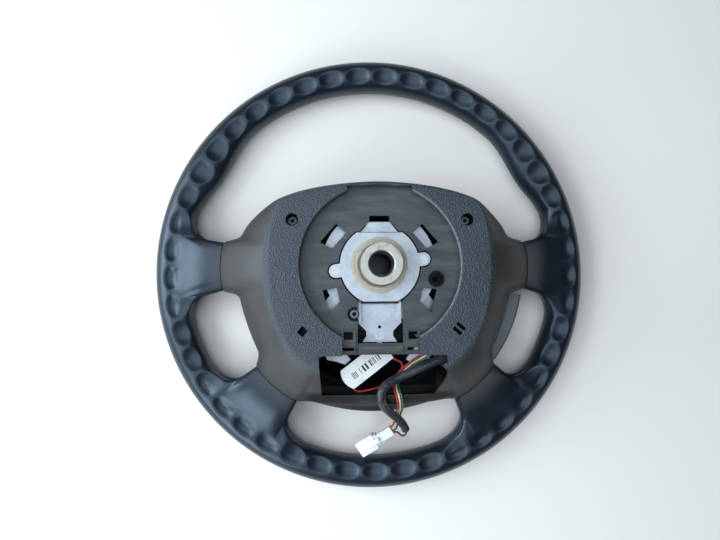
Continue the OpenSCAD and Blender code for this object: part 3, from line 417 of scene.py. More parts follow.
[c / 1000 for c in SLEEVE_ROUTE[0]]
for wire in ("red_wire", "cream_wire", "green_wire"):
    wire_cord(wire, "connector", shell)

# Paper tag. A strip of coated paper, a little curled, that lies over both ends of the igniter's lead,
# with plain printed bars that stand for no number.
TAG_LONG, TAG_WIDE, TAG_THICK, TAG_ROWS, TAG_PARTS = 42, 18, 0.3, 30, 12
tag_points, tag_uv = [], []
tag_ring = [(j / TAG_PARTS, 0) for j in range(TAG_PARTS + 1)]
tag_ring += [(v, TAG_THICK) for v, _ in tag_ring[::-1]]
for i in range(TAG_ROWS + 1):
    u = i / TAG_ROWS
    for v, layer in tag_ring:
        lift = 0.5 * math.sin(u * math.pi) * (1 - 0.4 * v) + 0.35 * u * v - 0.5 * (1 - u) ** 3
        end = 3.0 * (1 - u) ** 4 * (4 * v * (1 - v) - 0.6)
        tag_points.append(((u - 0.5) * TAG_LONG - end, (v - 0.5) * TAG_WIDE, layer + lift - 0.1))
        tag_uv.append((u, v))
around = len(tag_ring)
near_end = [(j, around - 1 - j, around - 2 - j, j + 1) for j in range(TAG_PARTS)]
far_end = [tuple(TAG_ROWS * around + j for j in face[::-1]) for face in near_end]
tag_faces = ring_faces(TAG_ROWS + 1, around) + near_end + far_end
tag_place = (Matrix.Translation((-0.0099, -0.0786, 0.0708)) @ Matrix.Rotation(math.radians(6), 4, "Y")
             @ Matrix.Rotation(math.radians(36.5), 4, "Z") @ Matrix.Scale(0.001, 4))
paper = Finish("tag_paper", (0.80, 0.79, 0.75), 0.55)
tag_map = paper.node("ShaderNodeUVMap", {"uv_map": "tag"})
along_tag, across_tag, _ = paper.axes(tag_map)
BARS = 74.0
number = (along_tag * BARS).math("FLOOR")
bar = paper.node("ShaderNodeTexWhiteNoise", {"noise_dimensions": "1D"}, W=number)
block = (along_tag.step(0.16, 0.165) * along_tag.step(0.80, 0.795)
         * across_tag.step(0.30, 0.31) * across_tag.step(0.62, 0.61))
ink = bar.step(0.5, 0.52) * block
blotched = paper.mix(paper.noise(70, 4).step(0.45, 0.8), (0.80, 0.79, 0.75), (0.66, 0.64, 0.58))
paper.feed("Base Color", paper.mix(ink, blotched, (0.03, 0.03, 0.035)))
paper.feed("Roughness", 0.45 + 0.2 * paper.noise(300, 2))
paper.bump(paper.noise(1500, 3), 0.15, 0.0002)
tag = piece("blank_tag", [tag_place @ Vector(p) for p in tag_points], tag_faces, paper, "wheel", 50)
tag_layer = tag.data.uv_layers.new(name="tag")
for loop in tag.data.loops:
    tag_layer.data[loop.index].uv = tag_uv[loop.vertex_index]
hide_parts("paper_tag")
wire_cord("igniter_lead", "object", tag)

# Clip. Black plastic saddle, moulded in one piece and clipped on the lower arm, where it grips the end
# of the sleeve.


def dress(finish, *nodes):
    """Gives CAD nodes their material."""
    for node in nodes:
        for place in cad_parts[node].material_slots:
            place.material = finish.material


def one_color(name, color, roughness, metallic, gloss, grain):
    """Finish in one colour, from gloss (least roughness, range, scale) and grain (scale, strength, depth)."""
    finish = Finish(name, color, roughness, metallic)
    finish.feed("Roughness", gloss[0] + gloss[1] * finish.noise(gloss[2], 3))
    finish.bump(finish.noise(grain[0], 2), *grain[1:])
    return finish


dress(one_color("clip_plastic", (0.02, 0.02, 0.022), 0.5, 0.0, (0.4, 0.25, 300), (2200, 0.2, 0.0002)),
      "lead_clip")

# Casting. Light alloy poured round the steel boss: the ring inside the rim, four arms and the hub plate
# with its ears. Its skin is mottled by the die, and rust from the boss has crept over it.
OPEN_HOLE, EAR_REACH, EAR_TURN = (43.7, -11), 34.3, 7.5
ear_cos, ear_sin = math.cos(math.radians(EAR_TURN)), math.sin(math.radians(EAR_TURN))
alloy = Finish("cast_alloy", (0.60, 0.60, 0.64), 0.4, 0.55)
x, y, z = alloy.axes()
side, radius = abs(x), alloy.away()
cloud = alloy.noise(38, 4, 0.6)
flow = alloy.noise(150, 3)
tint = alloy.mix(cloud.step(0.35, 0.62), (0.36, 0.36, 0.42), (0.43, 0.46, 0.47))
tint = alloy.mix(flow.step(0.45, 0.75) * 0.5, tint, (0.32, 0.32, 0.36))
spread = radius + (alloy.noise(60, 3) - 0.5) * 0.006
raised = z.step(0.088, 0.0905)
halo = spread.step(0.0226, 0.0212) * raised
tint = alloy.mix(halo * 0.7, tint, (0.44, 0.37, 0.26))
tide = alloy.noise(1.0, 1, 0.5, alloy.node("ShaderNodeCombineXYZ", {}, spread * 1400.0)) - 0.5
tint = alloy.mix(tide.step(0.02, 0.10) * halo * 0.8, tint, (0.24, 0.17, 0.10))
foot = (radius + (alloy.noise(160, 3) - 0.5) * 0.002).step(0.0185, 0.0165) * raised
tint = alloy.mix(foot * 0.85, tint, (0.10, 0.06, 0.035))
# Painted shade: where the casting lies deep under the cover, in the slits round the raised pad and ears, the
# pockets beside the bracket, round the bracket and in the shaft hole, it is painted near-black.
ear_gap = abs(y * ear_cos - x * ear_sin).step(0.0066, 0.0062) * radius.step(0.0415, 0.0405)
sunk = radius.step(0.0334, 0.0328).most(ear_gap) * y.step(-0.031, -0.029)
notch = y.step(-0.0605, -0.0600) * y.step(-0.0490, -0.0495)
notch = notch * side.step(0.0200, 0.0205) * side.step(0.0300, 0.0295)
bracket = y.step(-0.040, -0.042) * y.step(-0.0615, -0.0605)
bracket = bracket * side.step(0.0205, 0.0195) * z.step(0.0815, 0.0805)
shaft = alloy.away(*OPEN_HOLE).step(0.0052, 0.0048)
painted_gap_shade = sunk.most(notch).most(bracket).most(shaft) * z.step(0.0868, 0.0858)
tint = alloy.mix(painted_gap_shade, tint, (0.012, 0.012, 0.013))
# Painted shade: a dark line along the raised pad's straight upper edge.
painted_step_shade = y.step(0.0247, 0.0251) * y.step(0.0258, 0.0254) * z.step(0.0885, 0.0905) * side.step(0.0185, 0.0165)
tint = alloy.mix(painted_step_shade * 0.8, tint, (0.09, 0.09, 0.11))
alloy.feed("Base Color", tint)
alloy.feed("Roughness", 0.34 + 0.25 * flow + 0.2 * halo)
alloy.feed("Metallic", 0.6 - 0.5 * halo)
alloy.bump(alloy.noise(420, 4) + 0.6 * alloy.noise(90, 2), 0.3, 0.0004)
dress(alloy, "armature")

# Marks of the die's ejector pins. Flat discs a little proud of the casting, on both ears and at the
# foot of the bracket.


def node_tree(name, inputs):
    """Geometry tree with a mesh going in and out and named number or material inputs."""
    tree = bpy.data.node_groups.new(name, "GeometryNodeTree")
    tree.interface.new_socket("Geometry", in_out="INPUT", socket_type="NodeSocketGeometry")
    tree.interface.new_socket("Geometry", in_out="OUTPUT", socket_type="NodeSocketGeometry")
    for label, kind in inputs.items():
        tree.interface.new_socket(label, in_out="INPUT", socket_type="NodeSocket" + kind)
    return tree, tree.nodes.new("NodeGroupInput"), tree.nodes.new("NodeGroupOutput")


def wired(tree, kind, settings=None, **inputs):
    """Adds one geometry node; inputs are values or another node's output socket."""
    new = tree.nodes.new(kind)
    for key, value in (settings or {}).items():
        setattr(new, key, value)
    for key, value in inputs.items():
        socket = new.inputs[key.replace("_", " ")]
        if isinstance(value, bpy.types.NodeSocket):
            tree.links.new(value, socket)
        else:
            socket.default_value = value
    return new


def grown(name, tree, points, values, finish, body, flat=None):
    """Plain mesh that a geometry tree makes on loose points given in millimetres."""
    thing = meshed(name, np.array(points, float) / 1000, [])
    grow = thing.modifiers.new("grow", "NODES")
    grow.node_group = tree
    sockets = {item.name: item.identifier for item in tree.interface.items_tree if item.in_out == "INPUT"}
    for label, value in {**values, "Finish": finish.material}.items():
        grow[sockets[label]] = value
    applied(thing)
    return settle(thing, None, body, flat)


def spread_out(tree, entry, leave, instance, **more):
    """Ends a tree: the instance stands on each point, becomes real and takes its material."""
    spots = wired(tree, "GeometryNodeInstanceOnPoints", Points=entry.outputs["Geometry"],
                  Instance=instance, **more)
    solid = wired(tree, "GeometryNodeRealizeInstances", Geometry=spots.outputs["Instances"])
    painted = wired(tree, "GeometryNodeSetMaterial", Geometry=solid.outputs["Geometry"],
                    Material=entry.outputs["Finish"])
    tree.links.new(painted.outputs["Geometry"], leave.inputs[0])


disc_tree, entry, leave = node_tree("ejector_marks", {
    "Radius": "Float", "Height": "Float", "Finish": "Material"})
disc = wired(disc_tree, "GeometryNodeMeshCylinder", Vertices=40, Side_Segments=1, Fill_Segments=1,
             Radius=entry.outputs["Radius"], Depth=entry.outputs["Height"])
spread_out(disc_tree, entry, leave, disc.outputs["Mesh"])
bright_alloy = Finish("ejector_alloy", (0.55, 0.55, 0.58), 0.35, 0.5)
bright_alloy.feed("Roughness", 0.3 + 0.25 * bright_alloy.noise(500, 3))
bright_alloy.feed("Base Color", bright_alloy.mix(bright_alloy.noise(260, 3).step(0.4, 0.7),
                                                 (0.50, 0.51, 0.53), (0.40, 0.40, 0.42)))
PAD_TOP, BRACKET_TOP, PROUD = 91, 83, 0.05
ears = [(s * EAR_REACH * ear_cos, s * EAR_REACH * ear_sin) for s in (1, -1)]
marks = [*[(*ear, PAD_TOP + PROUD) for ear in ears], (0, -54.5, BRACKET_TOP + PROUD)]
grown("ejector_marks", disc_tree, marks, {"Radius": 0.0036, "Height": 0.0005},
      bright_alloy, "wheel", 40)

# Boss. Turned steel sleeve with a plain pilot bore and serrations, cast into the hub. Its end face is
# clean and pale, and its foot is rusty.
boss_steel = Finish("boss_steel", (0.62, 0.59, 0.53), 0.36, 0.6)
height, radius = boss_steel.axes()[2], boss_steel.away()
rings = boss_steel.node("ShaderNodeTexWave", {"wave_type": "RINGS", "rings_direction": "Z"}, boss_steel.place,
                        Scale=260.0, Distortion=0.6, Detail=2.0)
patch = boss_steel.noise(210, 4)
pale = boss_steel.mix(patch.step(0.5, 0.78), (0.40, 0.385, 0.33), (0.25, 0.21, 0.15))
low = height.step(0.1055, 0.0935) * radius.step(0.0125, 0.0145)
pale = boss_steel.mix((low * (0.4 + patch)).least(1.0), pale, (0.17, 0.10, 0.06))
# Painted shade: inside the pilot bore, below its mouth, the steel is painted near-black.
inside = radius.step(0.0098, 0.0094)
pale = boss_steel.mix(inside * height.step(0.107, 0.1045), pale, (0.035, 0.036, 0.042))
boss_steel.feed("Base Color", pale)
boss_steel.feed("Roughness", 0.3 + 0.25 * patch + 0.25 * low)
boss_steel.feed("Metallic", 0.75 - 0.6 * low)
boss_steel.bump(0.4 * rings + boss_steel.noise(900, 3), 0.12, 0.0002)
dress(boss_steel, "hub_boss")

# Rim. Polyurethane foam with a soft skin, moulded over the casting in one go: finger scallops all round
# its back, two thumb rests, and four flared roots that end at the seams of the centre covers.
RIM_OD, RIM_W, RIM_H = 385, 27.6, 29
RING_R, RIM_MID = (RIM_OD - RIM_W) / 2, RIM_H / 2
SEAM_R, ROOT_TOP, ROOT_BOTTOM = 129, 56, 29
SCALLOPS, SCALLOP_DEEP, SCALLOP_LONG, SCALLOP_TILT, SCALLOP_ARC = 45, 3.2, 11.3, 103, 31
THUMB_IN, THUMB_AT, THUMB_LOW, THUMB_HIGH = 6.8, 31.6, 14, 18.5
SPOKES = [(1, 9.3, 8.6), (179, 9.3, 8.6), (229, 10.3, 10.6), (311, 10.3, 10.6)]
FILLET_SHARE = 0.58


def angle_off(a, b):
    """Signed angle from b to a, in degrees, from -180 to 180."""
    return (np.asarray(a) - b + 180) % 360 - 180


def eased(x):
    """Smooth step from 0 to 1."""
    return x * x * (3 - 2 * x)


def spoke_share(a):
    """Share of a spoke's root in the rim's section: 1 in the spoke, with a round fillet beside it."""
    share = np.zeros_like(a)
    for middle, half, fillet in SPOKES:
        d = np.abs(angle_off(a, middle)) - half
        flare = FILLET_SHARE * (1 - np.sqrt(np.maximum(0, 1 - (1 - np.clip(d / fillet, 0, 1)) ** 2)))
        wall = np.clip(-d / 0.35, 0, 1)
        value = np.where(d >= fillet, 0, flare)
        share = np.maximum(share, value + (1 - value) * wall * (d < 0))
    return share


def soft_share(a):
    """Share of a spoke's root in the rim's own flank, where it runs out in a wide hollow."""
    share = np.zeros_like(a)
    for middle, half, fillet in SPOKES:
        reach = half + 1.1 * fillet
        run = np.clip((reach - np.abs(angle_off(a, middle))) / (reach - 0.25 * half), 0, 1)
        share = np.maximum(share, eased(run))
    return share


def spoke_round(a):
    """Share of a spoke's thickness that it keeps beside its middle line; its edges are rounded."""
    d = np.min([np.abs(angle_off(a, middle)) / half for middle, half, _ in SPOKES], axis=0)
    return np.maximum(0.3, np.maximum(0, 1 - np.clip(d, 0, 1) ** 3.2) ** 0.42)


def thumb_share(a):
    """Share of a thumb rest's bulge."""
    share = np.zeros_like(a)
    for d in (angle_off(a, THUMB_AT), -angle_off(a, 180 - THUMB_AT)):
        wide = np.where(d < 0, THUMB_LOW, THUMB_HIGH)
        share = np.maximum(share, np.where(np.abs(d) < wide, np.cos(np.radians(90) * d / wide) ** 2, 0))
    return share


def beside(spacing, count, offsets, clear):
    """Even directions and, near the spokes' edges, directions at fixed offsets from them."""
    close = np.array([m + s * (h + o) for m, h, _ in SPOKES for s in (-1, 1) for o in offsets]) % 360
    even = np.arange(count) * spacing
    near = np.min(np.abs(angle_off(even[:, None], close[None])), axis=1)
    return np.sort(np.concatenate([even[near > clear], close]))


LIP_HALF = 12.8
dirs = beside(0.4, 900, (-1.4, -0.9, -0.6, -0.36, -0.18, 0.0, 0.2), 0.15)
tips = np.concatenate([np.linspace(0, 180, 45), np.linspace(180, 360, 22)[1:-1]])
corners = [180 - LIP_HALF, 180 + LIP_HALF]
beside_lip = [corners[0] - 1, corners[1] + 1, 180 - 11.2, 180 + 11.2]
clear_tips = tips[np.min(np.abs(tips[:, None] - corners), axis=1) > 1.5]
tips = np.sort(np.concatenate([clear_tips, corners, beside_lip]))
heading, tip = np.meshgrid(dirs, tips, indexing="ij")
tip_cos, tip_sin = np.cos(np.radians(tip)), np.sin(np.radians(tip))
share, bulge = spoke_share(heading), THUMB_IN * thumb_share(heading)
off_ring = RIM_W / 2 * np.sign(tip_cos) * np.abs(tip_cos) ** 0.96
reach = RING_R + off_ring - np.where(off_ring < 0, -bulge * tip_cos, 0)
height = RIM_MID + RIM_H / 2 * np.sign(tip_sin) * np.abs(tip_sin) ** 0.98
pitch = 2 * math.pi * RING_R / SCALLOPS
along_scallop = (heading - 270) * SCALLOPS / 360
along_scallop = (along_scallop - np.round(along_scallop)) * pitch / SCALLOP_LONG
round_scallop = (tip - SCALLOP_TILT) / SCALLOP_ARC


def dipped(across):
    """Depth of the scallops at a share of their width, with a soft edge."""
    cut = SCALLOP_DEEP * (1 - along_scallop * along_scallop - across * across)
    return 0.5 * (cut + np.sqrt(cut * cut + 0.03))


reach = reach - dipped(round_scallop) * tip_cos
height = height - dipped(round_scallop) * tip_sin
from_lip = np.abs(180 - tip)
reach_in = np.interp(from_lip, [0, LIP_HALF, 38.6, 64.3, 90], [0, 0, 0.26, 0.58, 1.0])
root_r = SEAM_R + (RING_R - SEAM_R) * reach_in
back_z = RIM_H + (ROOT_TOP - RIM_H) * (1 - reach_in) ** 2
front_z = ROOT_BOTTOM * (1 - reach_in) ** 1.3
face = np.clip((tip - corners[0]) / (2 * LIP_HALF), 0, 1)
lip_z = ROOT_TOP * (1 - face) + ROOT_BOTTOM * face
root_z = np.where(from_lip < LIP_HALF, lip_z, np.where(tip < 180, back_z, front_z))
near_seam = eased(1 - np.clip((reach_in - 0.2) / 0.6, 0, 1))
middle_z = (back_z + front_z) / 2
root_z = middle_z + (root_z - middle_z) * (1 - near_seam * (1 - spoke_round(heading)))
root_z = root_z - np.where(tip < 167, dipped((root_r - RING_R + 2.6) / 7.2), 0)
run_out = eased(np.clip((reach_in - 0.06) / 0.5, 0, 1) * (tip < 180))
share = share + (soft_share(heading) - share) * run_out
inner = (tip > 90) & (tip < 270)
reach = np.where(inner, reach + (root_r - reach) * share, reach)
height = np.where(inner, height + (root_z - height) * share, height)
heading_cos, heading_sin = np.cos(np.radians(heading)), np.sin(np.radians(heading))
rim_points = np.stack([reach * heading_cos, reach * heading_sin, height], axis=2) / 1000
rim_faces = [(a, d, c, b) for a, b, c, d in ring_faces(len(dirs), len(tips), True)]
skin = Finish("rim_foam", (0.010, 0.014, 0.021), 0.36, Specular_IOR_Level=0.56,
              Specular_Tint=(0.74, 0.90, 1.0, 1.0))
grain = skin.cells(1300)
pores = skin.noise(700, 3)
wear = skin.noise(26, 3)
skin.feed("Base Color", skin.mix(wear.step(0.4, 0.75), (0.007, 0.010, 0.016), (0.012, 0.016, 0.024)))
skin.feed("Roughness", 0.23 + 0.13 * wear + 0.08 * pores)
skin.bump(grain + 0.5 * pores, 0.22, 0.0003)
rim = piece("foam_skin", rim_points.reshape(-1, 3), rim_faces, skin, "wheel", 50)
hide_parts("rim_skin")

# Rear cover. One injection moulding of grained plastic over the hub: a flat back with a round recess,
# screw wells and wiring window, smooth flanks, and four short arms that meet the rim's roots.
FACE = [(0, 64), (28, 62), (51, 58), (69, 52.5), (77.5, 47.5), (82, 38), (85, 24), (86.5, 5), (86, -12),
        (84, -28), (79.5, -44), (71.5, -60), (61, -72), (50, -79.5), (36, -81.5), (0, -81.5)]
BODY = [(0, 71), (32, 69.5), (60, 65), (80, 58.5), (94, 50), (106, 38.5), (112.5, 27), (115.5, 10),
        (116, -10), (114, -24), (110.5, -38), (105, -54), (98, -70), (90, -86), (76, -101), (60, -109.5),
        (32, -113.8), (0, -115)]
PAD = [(0, 58), (30, 56.5), (56, 52), (72, 43), (81, 28), (85, 8), (85, -12), (82, -34), (74, -58),
       (60, -80), (38, -95), (14, -101), (0, -102)]
COVER_TOP, COVER_T, RECESS_Z, RECESS_R, LIP_Z, SEAM = 98, 2.5, 90, 61.5, 43, 0.4
ARM_MID, EDGE_ROUND = (ROOT_TOP + ROOT_BOTTOM) / 2, 2.6


def outline_reach(half, directions):
    """Distance from the axis to a smooth symmetric outline, in each direction."""
    p = np.array(half + [(-a, b) for a, b in half[-2:0:-1]], float)
    before, after, beyond = np.roll(p, 1, axis=0), np.roll(p, -1, axis=0), np.roll(p, -2, axis=0)
    t = (np.arange(24) / 24)[None, :, None]
    fine = between(before[:, None], p[:, None], after[:, None], beyond[:, None], t).reshape(-1, 2)
    angle = np.degrees(np.arctan2(fine[:, 1], fine[:, 0])) % 360
    order = np.argsort(angle)
    return np.interp(directions, angle[order], np.hypot(*fine.T)[order], period=360)


def arm_share(a, inset=0.0):
    """Share of a short arm in the cover's wall."""
    share = np.zeros_like(a)
    for middle, half, _ in SPOKES:
        d = np.abs(angle_off(a, middle)) - half - 0.2 + inset
        share = np.maximum(share, np.where(d <= 0, 1, np.clip(1 - d / 5, 0, 1) ** 3))
    return share


cover_dirs = beside(2.0, 180, (-2.4, -1.2, -0.5, 0, 0.4, 0.9, 1.5, 2.2, 3.2, 4.2), 0.5)
face_r, body_r, pad_r = (outline_reach(o, cover_dirs) for o in (FACE, BODY, PAD))


def ring_points(radii, heights, directions=cover_dirs):
    a = np.radians(directions)
    return np.stack([radii * np.cos(a), radii * np.sin(a), heights + 0 * radii], axis=1)


def bowed(start, bow, end, s):
    """Value on a curve from start to end that leans towards bow."""
    return start * (1 - s) ** 2 + 2 * bow * s * (1 - s) + end * s * s


def bowed_rings(low, bow, high, steps):
    """Rings on a bowed wall between two rings, each given as radii and heights."""
    return [ring_points(bowed(low[0], bow[0], high[0], s), bowed(low[1], bow[1], high[1], s)) for s in steps]


def cover_rings(t):
    """Rings of the rear cover, set inward by its wall for the hollow."""
    inside = t > 0
    part = arm_share(cover_dirs, 1.2 if inside else 0)
    tip = SEAM_R + 2 if inside else SEAM_R - SEAM
    kept = spoke_round(cover_dirs)
    lip_r = body_r - t + (tip - body_r + t) * part
    low_r = body_r - 1 - t + (tip - body_r + 1 + t) * part
    arm_z = ARM_MID + (ROOT_TOP - ARM_MID) * kept
    low_z = LIP_Z + 11 + (arm_z - LIP_Z - 11) * part - 0.8 * t - (4 * part * kept if inside else 0)
    edge_r, edge_z = face_r - 0.8 * t, COVER_TOP - 2.2 - t
    mid_r, mid_z = edge_r + (low_r - edge_r) * 0.62, edge_z + (low_z - edge_z) * 0.46
    rings = [ring_points(lip_r, LIP_Z - (3 if inside else 0))]
    if not inside:
        rings.append(ring_points(lip_r + (low_r - lip_r) * 0.5, LIP_Z + (low_z - LIP_Z) * 0.5))
    bow = (2 * mid_r - (low_r + edge_r) / 2, 2 * mid_z - (low_z + edge_z) / 2)
    rings += bowed_rings((low_r, low_z), bow, (edge_r, edge_z), np.linspace(0, 1, 5 if inside else 14))
    for s in ([1.0] if inside else [0.25, 0.5, 0.75, 1.0]):
        turned = s * math.pi / 2
        rings.append(ring_points(edge_r - EDGE_ROUND * (1 - math.cos(turned)),
                                 edge_z + (COVER_TOP - t - edge_z) * math.sin(turned)))
    return rings


def disc_outline(cx, cy, radius, count=48):
    return [(cx + radius * math.cos(2 * math.pi * k / count),
             cy + radius * math.sin(2 * math.pi * k / count)) for k in range(count)]


def box_outline(x0, y0, x1, y1, turned=0.0, at=(0.0, 0.0)):
    c, s = math.cos(math.radians(turned)), math.sin(math.radians(turned))
    box_corners = ((x0, y0), (x1, y0), (x1, y1), (x0, y1))
    return [(at[0] + px * c - py * s, at[1] + px * s + py * c) for px, py in box_corners]


def recess_prisms(g, low, high):
    """Drafts of the round recess and its two straight ends, widened by g."""
    return [prism(disc_outline(0, 0, RECESS_R + g, 160), low, high),
            prism(box_outline(-25 - g, 0, 25 + g, 60.6 + g), low, high),
            prism(box_outline(-29.5 - g, -69 - g, 29.5 + g, 0), low, high)]


SCREW_AT, LOW_SCREW, WELL_R, WELL_Z, FOOT_Z = (67, 34.3), (-19.9, -37.6), 4.4, 88.5, 84.3
LOW_WELL_Z, HOLE_WELL_Z, SHANK_R, HOLE_R = RECESS_Z - 3.5, RECESS_Z - 2.5, 2.3, 3
RAISED_R, RAISED_LOW, RAISED_HIGH, EAR_R, PAD_GAP = 30.8, -28, 25.5, 5.2, 1.2
BELOW, ABOVE = 60, 120
HOOK_X, BAR_HALF = 24.8, 16.8
WINDOW = [(-45.5, -101.5), (44, -101.5), (50, -90), (51.5, -84), (50, -68.6), (-47.5, -68.6)]


def disc(place, radius, low, high, count=48):
    return prism(disc_outline(*place, radius, count), low, high)


def block(x0, y0, x1, y1, low=BELOW, high=ABOVE, turned=0.0, at=(0.0, 0.0)):
    return prism(box_outline(x0, y0, x1, y1, turned, at), low, high)


rounding = lofted([[(*q, z) for q in disc_outline(0, 0, radius, 160)] for radius, z in (
    (RECESS_R - 0.2, COVER_TOP - 0.9), (RECESS_R + 1.4, COVER_TOP + 0.7))])
hollow = joined(lofted(cover_rings(COVER_T)), recess_prisms(COVER_T, RECESS_Z - COVER_T, 130))
cover = joined(lofted(cover_rings(0)), [*recess_prisms(0, RECESS_Z, 130), rounding])
joined(cover, [hollow])
upper_screws = [(s * SCREW_AT[0], SCREW_AT[1]) for s in (1, -1)]
raised_parts = [disc(place, WELL_R + 2, WELL_Z - 2.5, WELL_Z + 7.2) for place in upper_screws]
raised_parts.append(disc(LOW_SCREW, WELL_R + 2, FOOT_Z, RECESS_Z))
raised_parts.append(disc(OPEN_HOLE, WELL_R + 2.2, FOOT_Z, RECESS_Z + 0.8))
raised_parts += [block(s * HOOK_X - 5.5, -67.5, s * HOOK_X + 5.5, -50.5, RECESS_Z - 0.5, RECESS_Z + 2)
                 for s in (1, -1)]
raised_parts.append(block(-BAR_HALF, -67.2, BAR_HALF, -61.8, RECESS_Z - 0.5, RECESS_Z + 1.5))
joined(cover, raised_parts, "UNION")
raised = [q for q in disc_outline(0, 0, RAISED_R + PAD_GAP, 144)
          if RAISED_LOW - PAD_GAP < q[1] < RAISED_HIGH + PAD_GAP]
slits = [prism(raised, BELOW, ABOVE)]
for ear, turned in zip(ears, (EAR_TURN, EAR_TURN + 180)):
    slits.append(disc(ear, EAR_R + PAD_GAP, BELOW, ABOVE))
    slits.append(block(0, -EAR_R - PAD_GAP, EAR_REACH, EAR_R + PAD_GAP, turned=turned))
slits.append(prism([(-BAR_HALF, 24), (BAR_HALF, 24), (8.8, 34.2), (-8.8, 34.2)], BELOW, ABOVE))
slits.append(block(-17.5, -60, 17.5, -26))
slits.append(block(-7.8, 30, 7.8, 38.4))
for s, screw in zip((1, -1), upper_screws):
    for pocket in ([(33.6, 32.2), (25.8, 25.3), (36.6, 13), (46.1, 17.8)],
                   [(33.4, -17.4), (30.9, -28), (39.7, -36.8), (44.2, -19)]):
        slits.append(prism([(s * px, py) for px, py in pocket][::s], BELOW, ABOVE))
    slits.append(disc(screw, WELL_R, WELL_Z, ABOVE))
    slits.append(disc(screw, SHANK_R, BELOW, ABOVE))
    slits.append(block(s * HOOK_X - 3.6, -57, s * HOOK_X + 3.6, -51))
    slits.append(block(s * HOOK_X - 4.5, -65.4, s * HOOK_X + 4.5, -63))
slits.append(prism(WINDOW, 40, ABOVE))
for place, radius, low in ((LOW_SCREW, WELL_R, LOW_WELL_Z), (LOW_SCREW, SHANK_R, BELOW),
                           (OPEN_HOLE, WELL_R, HOLE_WELL_Z), (OPEN_HOLE, HOLE_R, BELOW)):
    slits.append(disc(place, radius, low, ABOVE))
slits.append(block(-2.8, -3.1, 2.8, 3.1, 80, turned=-40, at=(-59.2, -50)))
slits += [block(-4.1, k - 1.35, 4.1, k + 1.35, 80, turned=-40, at=(59.3, -49)) for k in (-2.2, 2.2)]
joined(cover, slits)
cover.name = "grained_cover"
moulded = Finish("cover_plastic", (0.045, 0.055, 0.072), 0.55)
x, y, z = moulded.axes()
radius = moulded.away()
back = z.step(0.0925, 0.0965)
leather = moulded.cells(940)
speck = moulded.noise(1500, 2)
worn = moulded.noise(42, 4)
plain = moulded.mix(worn.step(0.35, 0.7), (0.023, 0.022, 0.020), (0.033, 0.031, 0.028))
recess = radius.step(0.068, 0.064) * z.step(0.084, 0.088)
recess_tint = moulded.mix(worn.step(0.35, 0.7), (0.028, 0.033, 0.036), (0.044, 0.051, 0.053))
plain = moulded.mix(recess, plain, recess_tint)
# Painted shade: the low lip below the wiring window is painted near-black and made metallic, so that it stays
# dark as in shadow.
painted_lip_shade = y.step(-0.0975, -0.1015) * z.step(0.082, 0.072) * abs(x).step(0.066, 0.050)
plain = moulded.mix(painted_lip_shade * 0.75, plain, (0.007, 0.007, 0.008))
smears = moulded.noise(1.0, 4, 0.62, moulded.node("ShaderNodeCombineXYZ", {}, x * 26.0, y * 150.0, z * 30.0))
plain = moulded.mix(smears.step(0.50, 0.64) * recess * 0.7, plain, (0.068, 0.068, 0.062))
plain = moulded.mix(smears.step(0.47, 0.36) * recess * 0.45, plain, (0.016, 0.018, 0.019))
grainy = moulded.mix(leather.step(0.25, 0.5), (0.050, 0.060, 0.070), (0.028, 0.034, 0.042))
grainy = moulded.mix(worn.step(0.45, 0.8) * 0.4, grainy, (0.055, 0.064, 0.074))
body_tint = moulded.mix(back, plain, grainy)
# Painted shade: the screw wells and the open hole are painted near-black and made metallic, so that they stay
# dark as in shadow.
wells = 0.0
for place, ring in zip([*upper_screws, LOW_SCREW, OPEN_HOLE], (4.9, 4.9, 5.6, 6.4)):
    wells = moulded.away(*place).step(ring / 1000 + 0.0003, ring / 1000 - 0.0004) + wells
wells = wells * z.step(0.080, 0.084)
body_tint = moulded.mix(wells, body_tint, (0.013, 0.013, 0.014))
# Painted highlight: a pale band on the rounded rim of the recess, on its right half only, where light catches
# the edge.
painted_edge_highlight = radius.step(0.0612, 0.0616) * radius.step(0.0632, 0.0626)
painted_edge_highlight = painted_edge_highlight * z.step(0.0968, 0.0975) * x.step(0.0, 0.03)
body_tint = moulded.mix(painted_edge_highlight * 0.6, body_tint, (0.16, 0.17, 0.18))
moulded.feed("Base Color", body_tint)
moulded.feed("Metallic", wells.most(painted_lip_shade * 0.75))
moulded.feed("Roughness", 0.42 + 0.14 * worn + 0.12 * back)
moulded.bump(leather.step(0.1, 0.6) * back * -1.0 + 0.10 * speck, 0.6, 0.0006)
settle(cover, moulded, "wheel", 28)
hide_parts("rear_cover")

# Front trim. Smooth black moulding between the rear cover and the airbag cover; its upper posts take
# the long cover screws.
FACE_Z, REVEAL = 9, 1.2


def trim_rings(t):
    """Rings of the front trim, set inward by its wall for the hollow."""
    inside = t > 0
    part = arm_share(cover_dirs, 1.2 if inside else 0)
    tip = SEAM_R + 2 if inside else SEAM_R - SEAM
    off = np.abs(angle_off(cover_dirs, 270))
    belly = np.where(off < 45, 8.5 * np.cos(np.radians(2 * off)) ** 2, 0)
    top_r = body_r - t + (tip - body_r + t) * part
    side_r = body_r - t + belly + (tip - body_r + t - belly) * part
    front_r = pad_r + REVEAL
    mid_z = FACE_Z + 12 + (ROOT_BOTTOM - 4 - FACE_Z - 12) * part + t
    arm_z = ARM_MID - (ARM_MID - ROOT_BOTTOM - 1) * spoke_round(cover_dirs)
    side_z = LIP_Z - 14 + (arm_z - LIP_Z + 14) * part + t
    rings = [ring_points(front_r, FACE_Z + 8)] if inside else []
    rings.append(ring_points(front_r + (0 if inside else 0.4), FACE_Z + 11 + t))
    mid_r = front_r + (side_r - front_r) * 0.6
    bow = (side_r - 0.12 * (side_r - mid_r), mid_z + 0.12 * (side_z - mid_z))
    rings += bowed_rings((mid_r, mid_z), bow, (side_r, side_z), np.linspace(0, 1, 3 if inside else 9))
    rings.append(ring_points(top_r, LIP_Z - 0.3 + (3 if inside else 0)))
    return rings


